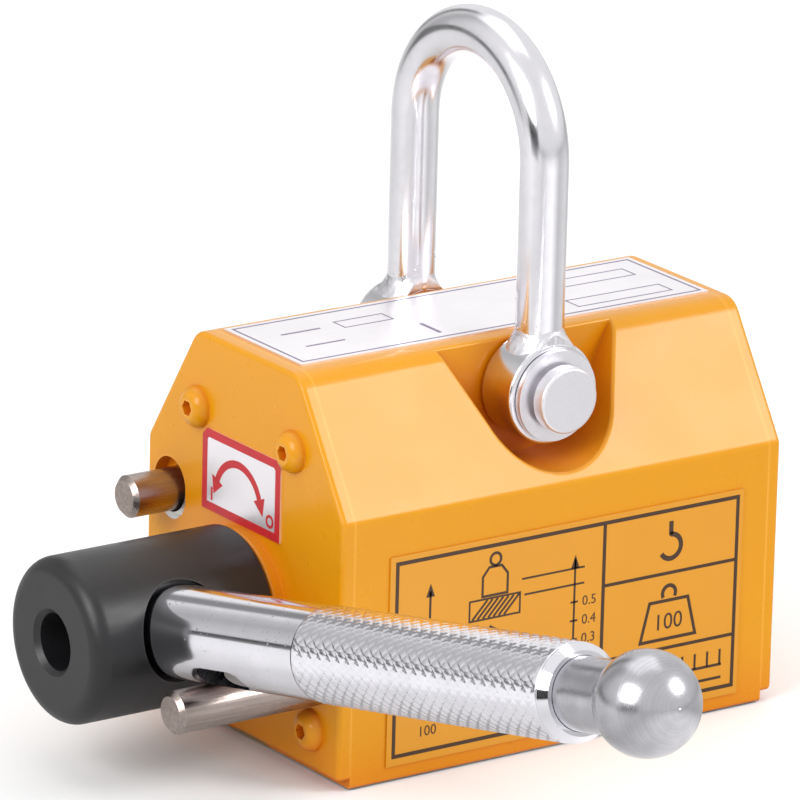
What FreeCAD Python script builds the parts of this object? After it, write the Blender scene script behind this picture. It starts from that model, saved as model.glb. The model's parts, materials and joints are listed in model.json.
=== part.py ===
import FreeCAD, Part
import math
import os

# Hand-operated permanent lifting magnet, 100 kg class.
# Millimetres. Z is up. The origin is the middle of the pole face on the bottom.
# The lever end faces -X. Seen from that end, the OFF side is on the right (-Y), the ON side on the left.

V = FreeCAD.Vector

# ---- body -------------------------------------------------------------------------------
BODY_LENGTH = 92.0
BODY_WIDTH = 60.0
BODY_HEIGHT = 70.0
TOP_WIDTH = 31.2
SHOULDER_Z = 47.5
TOP_EDGE_RADIUS = 4.5
SHOULDER_RADIUS = 2.0
FOOT_RADIUS = 0.8
PLATE_THICKNESS = 2.5
PLATE_LIFT = 1.8            # the end plates stop this far above the pole face
PLATE_EDGE_RADIUS = 0.9
RECESS_EDGE_RADIUS = 0.7
POLE_GAP = 10.0             # non-magnetic gap between the two poles
SPACER_HEIGHT = 4.6
TOP_BAR_BOTTOM = 55.0
STATOR_MAGNET_BOTTOM = 45.5
MAGNETS_IN_ROW = 3
MAGNET_SPACING = 0.5

# ---- rotor ------------------------------------------------------------------------------
AXIS_Z = 24.8
BORE_RADIUS = 20.0
ROTOR_RADIUS = 19.5
ROTOR_END_PLAY = 0.5
ROTOR_CAP_THICKNESS = 3.0
ROTOR_SLAB = 12.0
ROTOR_MAGNET_HEIGHT = 31.0
JOURNAL_RADIUS = 6.95
BUSH_BORE_RADIUS = 7.0
BUSH_OUTER_RADIUS = 9.5
BOSS_RADIUS = 13.9
BOSS_HEIGHT = 2.3
ROTOR_SCREW_RADIUS = 1.5
ROTOR_SCREW_LENGTH = 11.0
ROTOR_SCREW_PLACES = [(y, z) for y in (-11.5, 11.5) for z in (-9.0, 9.0)]

# ---- hub and lever ----------------------------------------------------------------------
HUB_RADIUS = 14.5
HUB_FRONT = 38.4            # front face of the hub, measured out from the end plate
HUB_BOSS_GAP = 0.3
HUB_FRONT_EDGE = 3.0
HUB_REAR_EDGE = 0.6
HUB_HOLE_RADIUS = 5.0
HUB_WEB = 2.8
SHAFT_REACH = 12.0          # shaft end, measured out from the end plate
LEVER_OUT = 20.5            # lever axis, measured out from the end plate
TUBE_RADIUS = 8.0
TUBE_START = 10.6
TUBE_END = 129.0
TUBE_BORE_RADIUS = 5.0
TUBE_BORE_START = 14.0
GUIDE_BORE_START = 112.0
GUIDE_BORE_RADIUS = 6.08
STUD_RADIUS = 6.0
STUD_START = 6.2
SOCKET_RADIUS = 8.7
SLOT_START = 26.0
SLOT_END = 40.0
SLOT_WIDTH = 6.2
SLOT_ANGLE = 50.0           # slot faces this far below the forward direction
BALL_CENTRE = 146.0
BALL_RADIUS = 8.6
NECK_RADIUS = 6.0
NECK_START = 119.0
NECK_FILLET = 1.0
ROD_RADIUS = 3.0
ROD_START = 33.5
TONGUE_START = 35.0
TONGUE_LENGTH = 4.8
TONGUE_WIDTH = 5.9
SEAT_START = 85.0
SEAT_LENGTH = 3.0
SPRING_RADIUS = 4.0
SPRING_WIRE = 0.5
SPRING_TURNS = 8

# ---- stop pins --------------------------------------------------------------------------
STOP_Y = -23.0
STOP_Z = 17.6
STOP_RADIUS = 3.7
STOP_REACH = 29.5
STOP_DEPTH = 22.0
CATCH_Y = 22.9
CATCH_Z = 39.2
CATCH_RADIUS = 3.75
CATCH_REACH = 9.4
CATCH_LENGTH = 46.0
CATCH_HOLE_RADIUS = 3.85
CATCH_WINDOW_RADIUS = 4.9
CATCH_WINDOW_RISE = 0.9
PIN_CHAMFER = 0.8

# ---- end-plate screws (M4 button heads) -------------------------------------------------
SCREW_PLACES = [(-14.6, 56.4), (14.6, 56.4), (-21.8, 8.9), (21.8, 8.9)]
SCREW_HEAD_RADIUS = 3.7
SCREW_HEAD_HEIGHT = 2.3
SCREW_RADIUS = 2.0
SCREW_LENGTH = 12.0
SCREW_SOCKET = 2.5
SCREW_SOCKET_DEPTH = 1.5

# ---- shackle ----------------------------------------------------------------------------
SHACKLE_X = 1.2
SHACKLE_Z = 61.5
BAR_RADIUS = 4.2
LEG_Y = 19.2
BOW_TOP = 124.2
EYE_RADIUS = 9.0
EYE_BORE_RADIUS = 5.08
EYE_INNER_Y = 15.0
EYE_THICKNESS = 8.7
WELD_HEIGHT = 2.6
WELD_SPREAD = 1.8
PIN_RADIUS = 5.0
PIN_NECK_RADIUS = 4.5
PIN_HEAD_RADIUS = 5.8
PIN_END_Y = 28.6
WASHER_RADIUS = 8.0
WASHER_THICKNESS = 1.2
WASHER_GAP = 0.15
RING_THICKNESS = 1.0
RING_OUTER_RADIUS = 7.0
RECESS_WALL_Y = 14.5
RECESS_RADIUS = 13.6
RECESS_Z = 62.6             # centre of the round bottom
RECESS_FLARE = 25.0

# ---- labels -----------------------------------------------------------------------------
FOIL = 0.3
TOP_LABEL_X = (-42.4, 43.3)
TOP_LABEL_Y = (-11.2, 12.4)
TURN_LABEL_Y = (-11.4, 12.4)
TURN_LABEL_Z = (39.1, 53.6)
SIDE_LABEL_X = (-36.3, 38.0)
SIDE_LABEL_Z = (2.8, 40.3)

# ---- worked-out sizes -------------------------------------------------------------------
FRONT = -BODY_LENGTH / 2
REAR = BODY_LENGTH / 2
BLOCK_FRONT = FRONT + PLATE_THICKNESS
BLOCK_REAR = REAR - PLATE_THICKNESS
LEVER_X = FRONT - LEVER_OUT
HUB_REAR_X = FRONT - BOSS_HEIGHT - HUB_BOSS_GAP
HUB_FRONT_X = FRONT - HUB_FRONT
SHAFT_END_X = FRONT - SHAFT_REACH
ROTOR_END = BLOCK_REAR - ROTOR_END_PLAY
CORE_END = ROTOR_END - ROTOR_CAP_THICKNESS

# The lever rests on the stop pin: its angle above horizontal follows from the two centres.
STOP_DISTANCE = math.hypot(STOP_Y, STOP_Z - AXIS_Z)
STOP_DIP = math.degrees(math.atan2(AXIS_Z - STOP_Z, -STOP_Y))
REST_GAP = 0.05
LEVER_ANGLE = math.degrees(math.asin((TUBE_RADIUS + STOP_RADIUS + REST_GAP) / STOP_DISTANCE)) - STOP_DIP


# ---- helpers ----------------------------------------------------------------------------
def box(x0, x1, y0, y1, z0, z1):
    return Part.makeBox(x1 - x0, y1 - y0, z1 - z0, V(x0, y0, z0))


def rod_x(x0, x1, y, z, radius):
    return Part.makeCylinder(radius, x1 - x0, V(x0, y, z), V(1, 0, 0))


def rod_y(x, y0, y1, z, radius):
    return Part.makeCylinder(radius, y1 - y0, V(x, y0, z), V(0, 1, 0))


def rounded_outline(corners):
    """Closed wire through (point, radius) corners, each radius a tangent arc."""
    edges = []
    marks = []
    count = len(corners)
    for i, (point, radius) in enumerate(corners):
        before = corners[i - 1][0] - point
        after = corners[(i + 1) % count][0] - point
        before.normalize()
        after.normalize()
        if radius == 0:
            marks.append((point, None, point))
            continue
        half = before.getAngle(after) / 2
        setback = radius / math.tan(half)
        bisector = before + after
        bisector.normalize()
        centre = point + bisector * (radius / math.sin(half))
        marks.append((point + before * setback, centre - bisector * radius, point + after * setback))
    for i, (start, middle, end) in enumerate(marks):
        if middle is not None:
            edges.append(Part.Arc(start, middle, end).toShape())
        edges.append(Part.LineSegment(end, marks[(i + 1) % count][0]).toShape())
    return Part.Wire(edges)


def hexagonal_prism(x0, x1, bottom):
    """The house-shaped section of the magnet, from x0 to x1, cut off at the given bottom."""
    half = BODY_WIDTH / 2
    top = TOP_WIDTH / 2
    corners = [
        (V(x0, -half, bottom), FOOT_RADIUS),
        (V(x0, -half, SHOULDER_Z), SHOULDER_RADIUS),
        (V(x0, -top, BODY_HEIGHT), TOP_EDGE_RADIUS),
        (V(x0, top, BODY_HEIGHT), TOP_EDGE_RADIUS),
        (V(x0, half, SHOULDER_Z), SHOULDER_RADIUS),
        (V(x0, half, bottom), FOOT_RADIUS),
    ]
    return Part.Face(rounded_outline(corners)).extrude(V(x1 - x0, 0, 0))


def shackle_recesses():
    """The two pockets that the shackle eyes swing in: round bottoms and flared sides."""
    flare = math.radians(RECESS_FLARE)
    side = RECESS_RADIUS * math.cos(flare)
    low = RECESS_Z - RECESS_RADIUS * math.sin(flare)
    high = BODY_HEIGHT + 5.0
    wide = side + (high - low) * math.tan(flare)
    points = {}
    for sign in (-1, 1):
        points[sign] = (V(SHACKLE_X + sign * side, 0, low), V(SHACKLE_X + sign * wide, 0, high))
    wire = Part.Wire([
        Part.Arc(points[-1][0], V(SHACKLE_X, 0, RECESS_Z - RECESS_RADIUS), points[1][0]).toShape(),
        Part.LineSegment(points[1][0], points[1][1]).toShape(),
        Part.LineSegment(points[1][1], points[-1][1]).toShape(),
        Part.LineSegment(points[-1][1], points[-1][0]).toShape(),
    ])
    depth = BODY_WIDTH / 2
    pocket = Part.Face(wire).extrude(V(0, depth, 0))
    left = pocket.translated(V(0, RECESS_WALL_Y, 0))
    right = pocket.translated(V(0, -RECESS_WALL_Y - depth, 0))
    return left.fuse(right)


def along_lever(shape, turn=0.0):
    """Takes a shape built on +Z from the origin and lays it along the lever from the hub axis."""
    laid = shape.copy()
    laid.rotate(V(0, 0, 0), V(0, 0, 1), turn)
    laid.rotate(V(0, 0, 0), V(1, 0, 0), 90 - LEVER_ANGLE)
    laid.translate(V(LEVER_X, 0, AXIS_Z))
    return laid


def revolved(profile, origin, axis):
    """Solid of revolution of (radius, distance) points about the axis through origin."""
    points = [V(radius, 0, distance) for radius, distance in profile]
    solid = Part.Face(Part.makePolygon(points + points[:1])).revolve(V(0, 0, 0), V(0, 0, 1), 360)
    solid.Placement = FreeCAD.Placement(origin, FreeCAD.Rotation(V(0, 0, 1), axis))
    return solid


def hexagon_prism(across_flats, x0, x1, y, z):
    radius = across_flats / math.sqrt(3)
    points = []
    for i in range(7):
        angle = math.radians(60 * i)
        points.append(V(x0, y + radius * math.cos(angle), z + radius * math.sin(angle)))
    return Part.Face(Part.makePolygon(points)).extrude(V(x1 - x0, 0, 0))


# ---- stator -----------------------------------------------------------------------------
def screw_holes(end, direction):
    holes = [rod_x(*sorted((end, end - direction * SCREW_LENGTH)), y, z, SCREW_RADIUS)
             for y, z in SCREW_PLACES]
    return Part.makeCompound(holes)


def recessed_body():
    """The house-shaped block with its two shackle pockets, whose rims are rounded."""
    prism = hexagonal_prism(BLOCK_FRONT, BLOCK_REAR, 0.0)
    skin = Part.makeCompound([face for face in prism.Faces if face.normalAt(0, 0).x ** 2 < 0.5])
    pockets = shackle_recesses()
    solid = prism.cut(pockets)
    rims = []
    for edge in solid.Edges:
        middle = Part.Vertex(edge.valueAt((edge.FirstParameter + edge.LastParameter) / 2))
        if middle.distToShape(skin)[0] < 0.001 and touches_walls(middle, pockets):
            rims.append(edge)
    return solid.makeFillet(RECESS_EDGE_RADIUS, rims)


def touches_walls(vertex, solid):
    return any(vertex.distToShape(face)[0] < 0.001 for face in solid.Faces)


def pole_blocks():
    solid = recessed_body()
    cutters = [
        rod_x(BLOCK_FRONT, BLOCK_REAR, 0, AXIS_Z, BORE_RADIUS),
        box(BLOCK_FRONT, BLOCK_REAR, -POLE_GAP / 2, POLE_GAP / 2, 0, BODY_HEIGHT),
        rod_y(SHACKLE_X, -BODY_WIDTH / 2, BODY_WIDTH / 2, SHACKLE_Z, PIN_RADIUS),
        rod_x(BLOCK_FRONT, BLOCK_FRONT + STOP_DEPTH, STOP_Y, STOP_Z, STOP_RADIUS),
        rod_x(BLOCK_FRONT, FRONT - CATCH_REACH + CATCH_LENGTH + 1.0, CATCH_Y, CATCH_Z, CATCH_HOLE_RADIUS),
        screw_holes(FRONT, -1),
        screw_holes(REAR, 1),
    ]
    for cutter in cutters:
        solid = solid.cut(cutter)
    halves = sorted(solid.Solids, key=lambda s: s.CenterOfMass.y)
    return {"pole_block_right": halves[0], "pole_block_left": halves[1]}


def magnet_row(half_width, bottom, height, end):
    """A row of equal magnet blocks lying end to end along X."""
    pitch = 2 * end / MAGNETS_IN_ROW
    blocks = []
    for i in range(MAGNETS_IN_ROW):
        start = -end + i * pitch + MAGNET_SPACING / 2
        blocks.append(box(start, start + pitch - MAGNET_SPACING, -half_width, half_width,
                          bottom, bottom + height))
    return Part.makeCompound(blocks)


def stator_parts():
    half = POLE_GAP / 2
    top_bar = box(BLOCK_FRONT, BLOCK_REAR, -half, half, TOP_BAR_BOTTOM, BODY_HEIGHT)
    top_bar = top_bar.cut(rod_y(SHACKLE_X, -half, half, SHACKLE_Z, PIN_RADIUS))
    height = TOP_BAR_BOTTOM - STATOR_MAGNET_BOTTOM
    return {
        "bottom_spacer": box(BLOCK_FRONT, BLOCK_REAR, -half, half, 0, SPACER_HEIGHT),
        "top_bar": top_bar,
        "stator_magnets": magnet_row(half, STATOR_MAGNET_BOTTOM, height, BLOCK_REAR),
    }


def end_plate(inner, outer, boss):
    """End plate between two X places. The boss carries the bush in front of the plate."""
    x0, x1 = sorted((inner, outer))
    plate = hexagonal_prism(x0, x1, PLATE_LIFT)
    rims = [edge for edge in plate.Edges if abs(edge.BoundBox.Center.x - outer) < 0.001]
    plate = plate.makeFillet(PLATE_EDGE_RADIUS, rims)
    tip = outer - boss
    if boss:
        ring = rod_x(tip, outer, 0, AXIS_Z, BOSS_RADIUS)
        rim = max(ring.Edges, key=lambda e: (-e.BoundBox.XMin, e.Length))
        plate = plate.fuse(ring.makeFillet(0.6, [rim])).removeSplitter()
    low, high = sorted((inner, tip))
    plate = plate.cut(rod_x(low, high, 0, AXIS_Z, BUSH_OUTER_RADIUS))
    for y, z in SCREW_PLACES:
        plate = plate.cut(rod_x(x0, x1, y, z, SCREW_RADIUS))
    return plate


def bush(x0, x1):
    return rod_x(x0, x1, 0, AXIS_Z, BUSH_OUTER_RADIUS).cut(rod_x(x0, x1, 0, AXIS_Z, BUSH_BORE_RADIUS))


def button_screw(face, direction, y, z):
    """M4 button-head screw. Its head sits on the plate face and points along direction."""
    tip = face + direction * SCREW_HEAD_HEIGHT
    shank = rod_x(*sorted((face, face - direction * SCREW_LENGTH)), y, z, SCREW_RADIUS)
    flat = 0.55 * SCREW_HEAD_RADIUS
    dome = Part.Wire([
        Part.LineSegment(V(0, 0, 0), V(SCREW_HEAD_RADIUS, 0, 0)).toShape(),
        Part.Arc(V(SCREW_HEAD_RADIUS, 0, 0), V(0.88 * SCREW_HEAD_RADIUS, 0, 0.6 * SCREW_HEAD_HEIGHT),
                 V(flat, 0, SCREW_HEAD_HEIGHT)).toShape(),
        Part.LineSegment(V(flat, 0, SCREW_HEAD_HEIGHT), V(0, 0, SCREW_HEAD_HEIGHT)).toShape(),
        Part.LineSegment(V(0, 0, SCREW_HEAD_HEIGHT), V(0, 0, 0)).toShape(),
    ])
    head = Part.Face(dome).revolve(V(0, 0, 0), V(0, 0, 1), 360)
    head.Placement = FreeCAD.Placement(V(face, y, z), FreeCAD.Rotation(V(0, 0, 1), V(direction, 0, 0)))
    socket = hexagon_prism(SCREW_SOCKET, *sorted((tip, tip - direction * SCREW_SOCKET_DEPTH)), y, z)
    return head.fuse(shank).cut(socket)


def end_parts():
    front_plate = end_plate(BLOCK_FRONT, FRONT, BOSS_HEIGHT)
    front_plate = front_plate.cut(rod_x(FRONT, BLOCK_FRONT, STOP_Y, STOP_Z, STOP_RADIUS))
    window = rod_x(FRONT, BLOCK_FRONT, CATCH_Y, CATCH_Z + CATCH_WINDOW_RISE, CATCH_WINDOW_RADIUS)
    front_plate = front_plate.cut(window)
    return {
        "front_end_plate": front_plate,
        "rear_end_plate": end_plate(BLOCK_REAR, REAR, 0.0),
        "front_bush": bush(FRONT - BOSS_HEIGHT, BLOCK_FRONT),
        "rear_bush": bush(BLOCK_REAR, REAR),
        "front_plate_screws": Part.makeCompound([button_screw(FRONT, -1, y, z) for y, z in SCREW_PLACES]),
        "rear_plate_screws": Part.makeCompound([button_screw(REAR, 1, y, z) for y, z in SCREW_PLACES]),
    }


def chamfered_pin(x0, x1, y, z, radius):
    pin = rod_x(x0, x1, y, z, radius)
    rims = [edge for edge in pin.Edges if edge.BoundBox.XLength < 0.001]
    return pin.makeChamfer(PIN_CHAMFER, rims)


def pins():
    catch_tip = FRONT - CATCH_REACH
    return {
        "off_stop_pin": chamfered_pin(FRONT - STOP_REACH, BLOCK_FRONT + STOP_DEPTH, STOP_Y, STOP_Z,
                                      STOP_RADIUS),
        "catch_pin": chamfered_pin(catch_tip, catch_tip + CATCH_LENGTH, CATCH_Y, CATCH_Z, CATCH_RADIUS),
    }


# ---- rotor ------------------------------------------------------------------------------
def rotor_screws(end, direction):
    """Countersunk screws that hold a rotor cap to the two rotor poles."""
    screws = []
    for y, z in ROTOR_SCREW_PLACES:
        profile = [(0, 0), (2 * ROTOR_SCREW_RADIUS, 0), (ROTOR_SCREW_RADIUS, ROTOR_SCREW_RADIUS),
                   (ROTOR_SCREW_RADIUS, ROTOR_SCREW_LENGTH), (0, ROTOR_SCREW_LENGTH)]
        screws.append(revolved(profile, V(end, y, AXIS_Z + z), V(-direction, 0, 0)))
    return screws


def hub_key(x0, x1):
    return box(x0, x1, -2.0, 2.0, AXIS_Z + JOURNAL_RADIUS - 2.0, AXIS_Z + JOURNAL_RADIUS + 1.8)


def rotor_parts():
    drum = rod_x(-CORE_END, CORE_END, 0, AXIS_Z, ROTOR_RADIUS)
    slab = box(-CORE_END, CORE_END, -ROTOR_SLAB / 2, ROTOR_SLAB / 2, AXIS_Z - BORE_RADIUS,
               AXIS_Z + BORE_RADIUS)
    screws_front = rotor_screws(-ROTOR_END, -1)
    screws_rear = rotor_screws(ROTOR_END, 1)
    screws = Part.makeCompound(screws_front + screws_rear)
    cores = sorted(drum.cut(slab).cut(screws).Solids, key=lambda s: s.CenterOfMass.y)
    key = hub_key(SHAFT_END_X + 1.0, HUB_REAR_X - 1.0)
    front = rod_x(-ROTOR_END, -CORE_END, 0, AXIS_Z, ROTOR_RADIUS)
    front = front.fuse(rod_x(SHAFT_END_X, -ROTOR_END, 0, AXIS_Z, JOURNAL_RADIUS)).removeSplitter()
    front = front.cut(screws).cut(key).cut(hub_screw_shank())
    rear = rod_x(CORE_END, ROTOR_END, 0, AXIS_Z, ROTOR_RADIUS)
    rear = rear.fuse(rod_x(ROTOR_END, REAR - 0.2, 0, AXIS_Z, JOURNAL_RADIUS)).removeSplitter()
    return {
        "rotor_pole_right": cores[0],
        "rotor_pole_left": cores[1],
        "rotor_magnets": magnet_row(ROTOR_SLAB / 2, AXIS_Z - ROTOR_MAGNET_HEIGHT / 2,
                                    ROTOR_MAGNET_HEIGHT, CORE_END),
        "rotor_front_journal": front,
        "rotor_rear_journal": rear.cut(screws),
        "rotor_cap_screws": screws,
        "hub_key": key,
    }


# ---- hub --------------------------------------------------------------------------------
def hub_screw_shank():
    return rod_x(SHAFT_END_X - HUB_WEB, SHAFT_END_X + 9.0, 0, AXIS_Z, 2.5)


def hub_parts():
    hub = rod_x(HUB_FRONT_X, HUB_REAR_X, 0, AXIS_Z, HUB_RADIUS)
    rims = sorted([e for e in hub.Edges if e.BoundBox.XLength < 0.001], key=lambda e: e.BoundBox.XMin)
    hub = hub.makeFillet(HUB_FRONT_EDGE, [rims[0]])
    rims = sorted([e for e in hub.Edges if e.BoundBox.XLength < 0.001], key=lambda e: e.BoundBox.XMin)
    hub = hub.makeFillet(HUB_REAR_EDGE, [rims[-1]])
    web_x = SHAFT_END_X - 0.2 - HUB_WEB
    hub = hub.cut(rod_x(SHAFT_END_X - 0.2, HUB_REAR_X, 0, AXIS_Z, JOURNAL_RADIUS))
    hub = hub.cut(rod_x(HUB_FRONT_X, web_x, 0, AXIS_Z, HUB_HOLE_RADIUS))
    lip = Part.makeCone(HUB_HOLE_RADIUS + 0.9, HUB_HOLE_RADIUS, 0.9, V(HUB_FRONT_X, 0, AXIS_Z), V(1, 0, 0))
    hub = hub.cut(lip)
    hub = hub.cut(rod_x(web_x, SHAFT_END_X, 0, AXIS_Z, 2.5))
    hub = hub.cut(hub_key(SHAFT_END_X + 1.0, HUB_REAR_X))
    hub = hub.cut(along_lever(Part.makeCylinder(STUD_RADIUS, 20, V(0, 0, STUD_START))))
    hub = hub.cut(along_lever(Part.makeCylinder(SOCKET_RADIUS, 20, V(0, 0, TUBE_START))))
    washer_x = web_x - 1.0
    washer = rod_x(washer_x, web_x, 0, AXIS_Z, 4.7).cut(rod_x(washer_x, web_x, 0, AXIS_Z, 2.5))
    head = rod_x(washer_x - 5.0, washer_x, 0, AXIS_Z, 4.25)
    head = head.cut(hexagon_prism(4.0, washer_x - 5.0, washer_x - 2.5, 0, AXIS_Z))
    screw = head.fuse(rod_x(washer_x, SHAFT_END_X + 9.0, 0, AXIS_Z, 2.5))
    return {"lever_hub": hub, "hub_washer": washer, "hub_screw": screw.removeSplitter()}


# ---- lever ------------------------------------------------------------------------------
def lever_tube():
    profile = [(0, STUD_START), (STUD_RADIUS, STUD_START), (STUD_RADIUS, TUBE_START),
               (TUBE_RADIUS, TUBE_START), (TUBE_RADIUS, TUBE_END - 1.4), (TUBE_RADIUS - 1.2, TUBE_END),
               (GUIDE_BORE_RADIUS, TUBE_END), (GUIDE_BORE_RADIUS, GUIDE_BORE_START),
               (TUBE_BORE_RADIUS, GUIDE_BORE_START), (TUBE_BORE_RADIUS, TUBE_BORE_START),
               (0, TUBE_BORE_START)]
    tube = revolved(profile, V(0, 0, 0), V(0, 0, 1))
    half = SLOT_WIDTH / 2
    slot = box(0, TUBE_RADIUS + 1, -half, half, SLOT_START + half, SLOT_END - half)
    for end in (SLOT_START + half, SLOT_END - half):
        slot = slot.fuse(Part.makeCylinder(half, TUBE_RADIUS + 1, V(0, 0, end), V(1, 0, 0)))
    slot = slot.cut(Part.makeCylinder(TUBE_BORE_RADIUS - 0.5, 200))
    slot.rotate(V(0, 0, 0), V(0, 0, 1), SLOT_TURN)
    return along_lever(tube.cut(slot))


# The slot and its tongue are built facing +X, then turned to face forward and down.
SLOT_TURN = 180 + SLOT_ANGLE


def lock_tongue():
    """Key on the rod that fills the outer end of the slot."""
    half = TONGUE_WIDTH / 2
    outer = TONGUE_START + TONGUE_LENGTH
    block = box(0, TUBE_RADIUS, -half, half, TONGUE_START, outer - half)
    block = block.fuse(Part.makeCylinder(half, TUBE_RADIUS, V(0, 0, outer - half), V(1, 0, 0)))
    block = block.common(Part.makeCylinder(TUBE_RADIUS - 0.5, 200))
    block = block.cut(Part.makeCylinder(ROD_RADIUS, 200)).common(box(0, 20, -20, 20, 0, 60))
    return along_lever(block, SLOT_TURN)


def spring_coil(start, end, radius, wire, turns):
    """Round wire carried along a helix, which is a smooth curve through evenly spaced points."""
    steps = 12 * turns
    points = []
    for i in range(steps + 1):
        angle = 2 * math.pi * turns * i / steps
        points.append(V(radius * math.cos(angle), radius * math.sin(angle), start + (end - start) * i / steps))
    helix = Part.BSplineCurve()
    helix.interpolate(points)
    circle = Part.Wire(Part.makeCircle(wire, points[0], helix.tangent(helix.FirstParameter)[0]))
    return Part.Wire(helix.toShape()).makePipeShell([circle], True, True)


def lever_parts():
    neck_reach = BALL_CENTRE - NECK_START
    neck = Part.makeCylinder(NECK_RADIUS, neck_reach, V(0, 0, NECK_START))
    ball = Part.makeSphere(BALL_RADIUS, V(0, 0, BALL_CENTRE))
    seat = Part.makeCylinder(TUBE_BORE_RADIUS, SEAT_LENGTH, V(0, 0, SEAT_START))
    seat = seat.cut(Part.makeCylinder(ROD_RADIUS + 0.1, SEAT_LENGTH, V(0, 0, SEAT_START)))
    margin = SPRING_WIRE + 0.1
    spring = spring_coil(SEAT_START + SEAT_LENGTH + margin, NECK_START - margin, SPRING_RADIUS,
                         SPRING_WIRE, SPRING_TURNS)
    rod = Part.makeCylinder(ROD_RADIUS, NECK_START - ROD_START, V(0, 0, ROD_START))
    knob = neck.fuse(ball).removeSplitter()
    joint = [e for e in knob.Edges if abs(e.BoundBox.XLength - 2 * NECK_RADIUS) < 0.01]
    knob = knob.makeFillet(NECK_FILLET, [max(joint, key=lambda e: e.BoundBox.ZMax)])
    return {
        "lever_tube": lever_tube(),
        "spring_seat": along_lever(seat),
        "lock_spring": along_lever(spring),
        "lock_rod": along_lever(rod),
        "lock_tongue": lock_tongue(),
        "ball_knob": along_lever(knob),
    }


# ---- shackle ----------------------------------------------------------------------------
def shackle_parts():
    arc_z = BOW_TOP - BAR_RADIUS - LEG_Y
    foot = SHACKLE_Z + 2.0
    ends = {sign: (V(SHACKLE_X, sign * LEG_Y, foot), V(SHACKLE_X, sign * LEG_Y, arc_z)) for sign in (-1, 1)}
    path = Part.Wire([
        Part.LineSegment(ends[-1][0], ends[-1][1]).toShape(),
        Part.Arc(ends[-1][1], V(SHACKLE_X, 0, arc_z + LEG_Y), ends[1][1]).toShape(),
        Part.LineSegment(ends[1][1], ends[1][0]).toShape(),
    ])
    section = Part.Wire(Part.makeCircle(BAR_RADIUS, ends[-1][0], V(0, 0, 1)))
    bow = path.makePipeShell([section], True, True)
    parts = {}
    for name, sign in (("right", -1), ("left", 1)):
        inner, outer = sorted((sign * EYE_INNER_Y, sign * (EYE_INNER_Y + EYE_THICKNESS)))
        disc = rod_y(SHACKLE_X, inner, outer, SHACKLE_Z, EYE_RADIUS)
        weld = Part.makeCone(BAR_RADIUS + WELD_SPREAD, BAR_RADIUS, 2 * WELD_HEIGHT,
                             V(SHACKLE_X, sign * LEG_Y, SHACKLE_Z + EYE_RADIUS - WELD_HEIGHT), V(0, 0, 1))
        weld = weld.common(box(-50, 50, inner, outer, 0, 100))
        bow = bow.fuse(weld).cut(disc)
        ring = disc.cut(rod_y(SHACKLE_X, inner, outer, SHACKLE_Z, EYE_BORE_RADIUS))
        parts["shackle_eye_" + name] = ring.makeFillet(0.7, [e for e in ring.Edges if is_eye_rim(e)])
    parts["shackle_bow"] = max(bow.Solids, key=lambda s: s.Volume)
    return parts


def is_eye_rim(edge):
    """True for the two outer circles of an eye, which are rounded."""
    return edge.BoundBox.YLength < 0.001 and abs(edge.BoundBox.XLength - 2 * EYE_RADIUS) < 0.01


def shackle_pin_parts():
    washer_in = EYE_INNER_Y + EYE_THICKNESS + WASHER_GAP
    washer_out = washer_in + WASHER_THICKNESS
    groove_out = washer_out + RING_THICKNESS
    pin = rod_y(SHACKLE_X, -groove_out, PIN_END_Y, SHACKLE_Z, PIN_RADIUS)
    end_rim = max(pin.Edges, key=lambda e: e.BoundBox.YMin)
    pin = pin.makeChamfer(PIN_CHAMFER, [end_rim])
    head = rod_y(SHACKLE_X, -PIN_END_Y, -groove_out, SHACKLE_Z, PIN_HEAD_RADIUS)
    head_rim = min(head.Edges, key=lambda e: e.BoundBox.YMax)
    head = head.makeFillet(0.5, [head_rim])
    pin = pin.fuse(head)
    washers = []
    for sign in (-1, 1):
        neck = sorted((sign * washer_out, sign * groove_out))
        groove = rod_y(SHACKLE_X, *neck, SHACKLE_Z, 2 * PIN_RADIUS)
        pin = pin.cut(groove.cut(rod_y(SHACKLE_X, *neck, SHACKLE_Z, PIN_NECK_RADIUS)))
        span = sorted((sign * washer_in, sign * washer_out))
        washer = rod_y(SHACKLE_X, *span, SHACKLE_Z, WASHER_RADIUS)
        washers.append(washer.cut(rod_y(SHACKLE_X, *span, SHACKLE_Z, PIN_RADIUS)))
    ring = rod_y(SHACKLE_X, washer_out, groove_out, SHACKLE_Z, RING_OUTER_RADIUS)
    ring = ring.cut(rod_y(SHACKLE_X, washer_out, groove_out, SHACKLE_Z, PIN_NECK_RADIUS))
    mouth = box(SHACKLE_X - 3.2, SHACKLE_X + 3.2, washer_out, groove_out, SHACKLE_Z - 10, SHACKLE_Z)
    return {
        "shackle_pin": pin.removeSplitter(),
        "pin_washers": Part.makeCompound(washers),
        "pin_retaining_ring": ring.cut(mouth),
    }


# ---- labels -----------------------------------------------------------------------------
def label_parts():
    top = box(*TOP_LABEL_X, *TOP_LABEL_Y, BODY_HEIGHT, BODY_HEIGHT + FOIL)
    side_y = -BODY_WIDTH / 2
    side = box(*SIDE_LABEL_X, side_y - FOIL, side_y, *SIDE_LABEL_Z)
    y0, y1 = TURN_LABEL_Y
    z0, z1 = TURN_LABEL_Z
    cut = 1.6
    corners = [(y0, z0), (y1, z0), (y1, z1 - cut), (y1 - cut, z1), (y0 + cut, z1), (y0, z1 - cut), (y0, z0)]
    turn = Part.Face(Part.makePolygon([V(FRONT, y, z) for y, z in corners])).extrude(V(-FOIL, 0, 0))
    return {"top_nameplate": top, "turn_label": turn, "rating_label": side}


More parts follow.
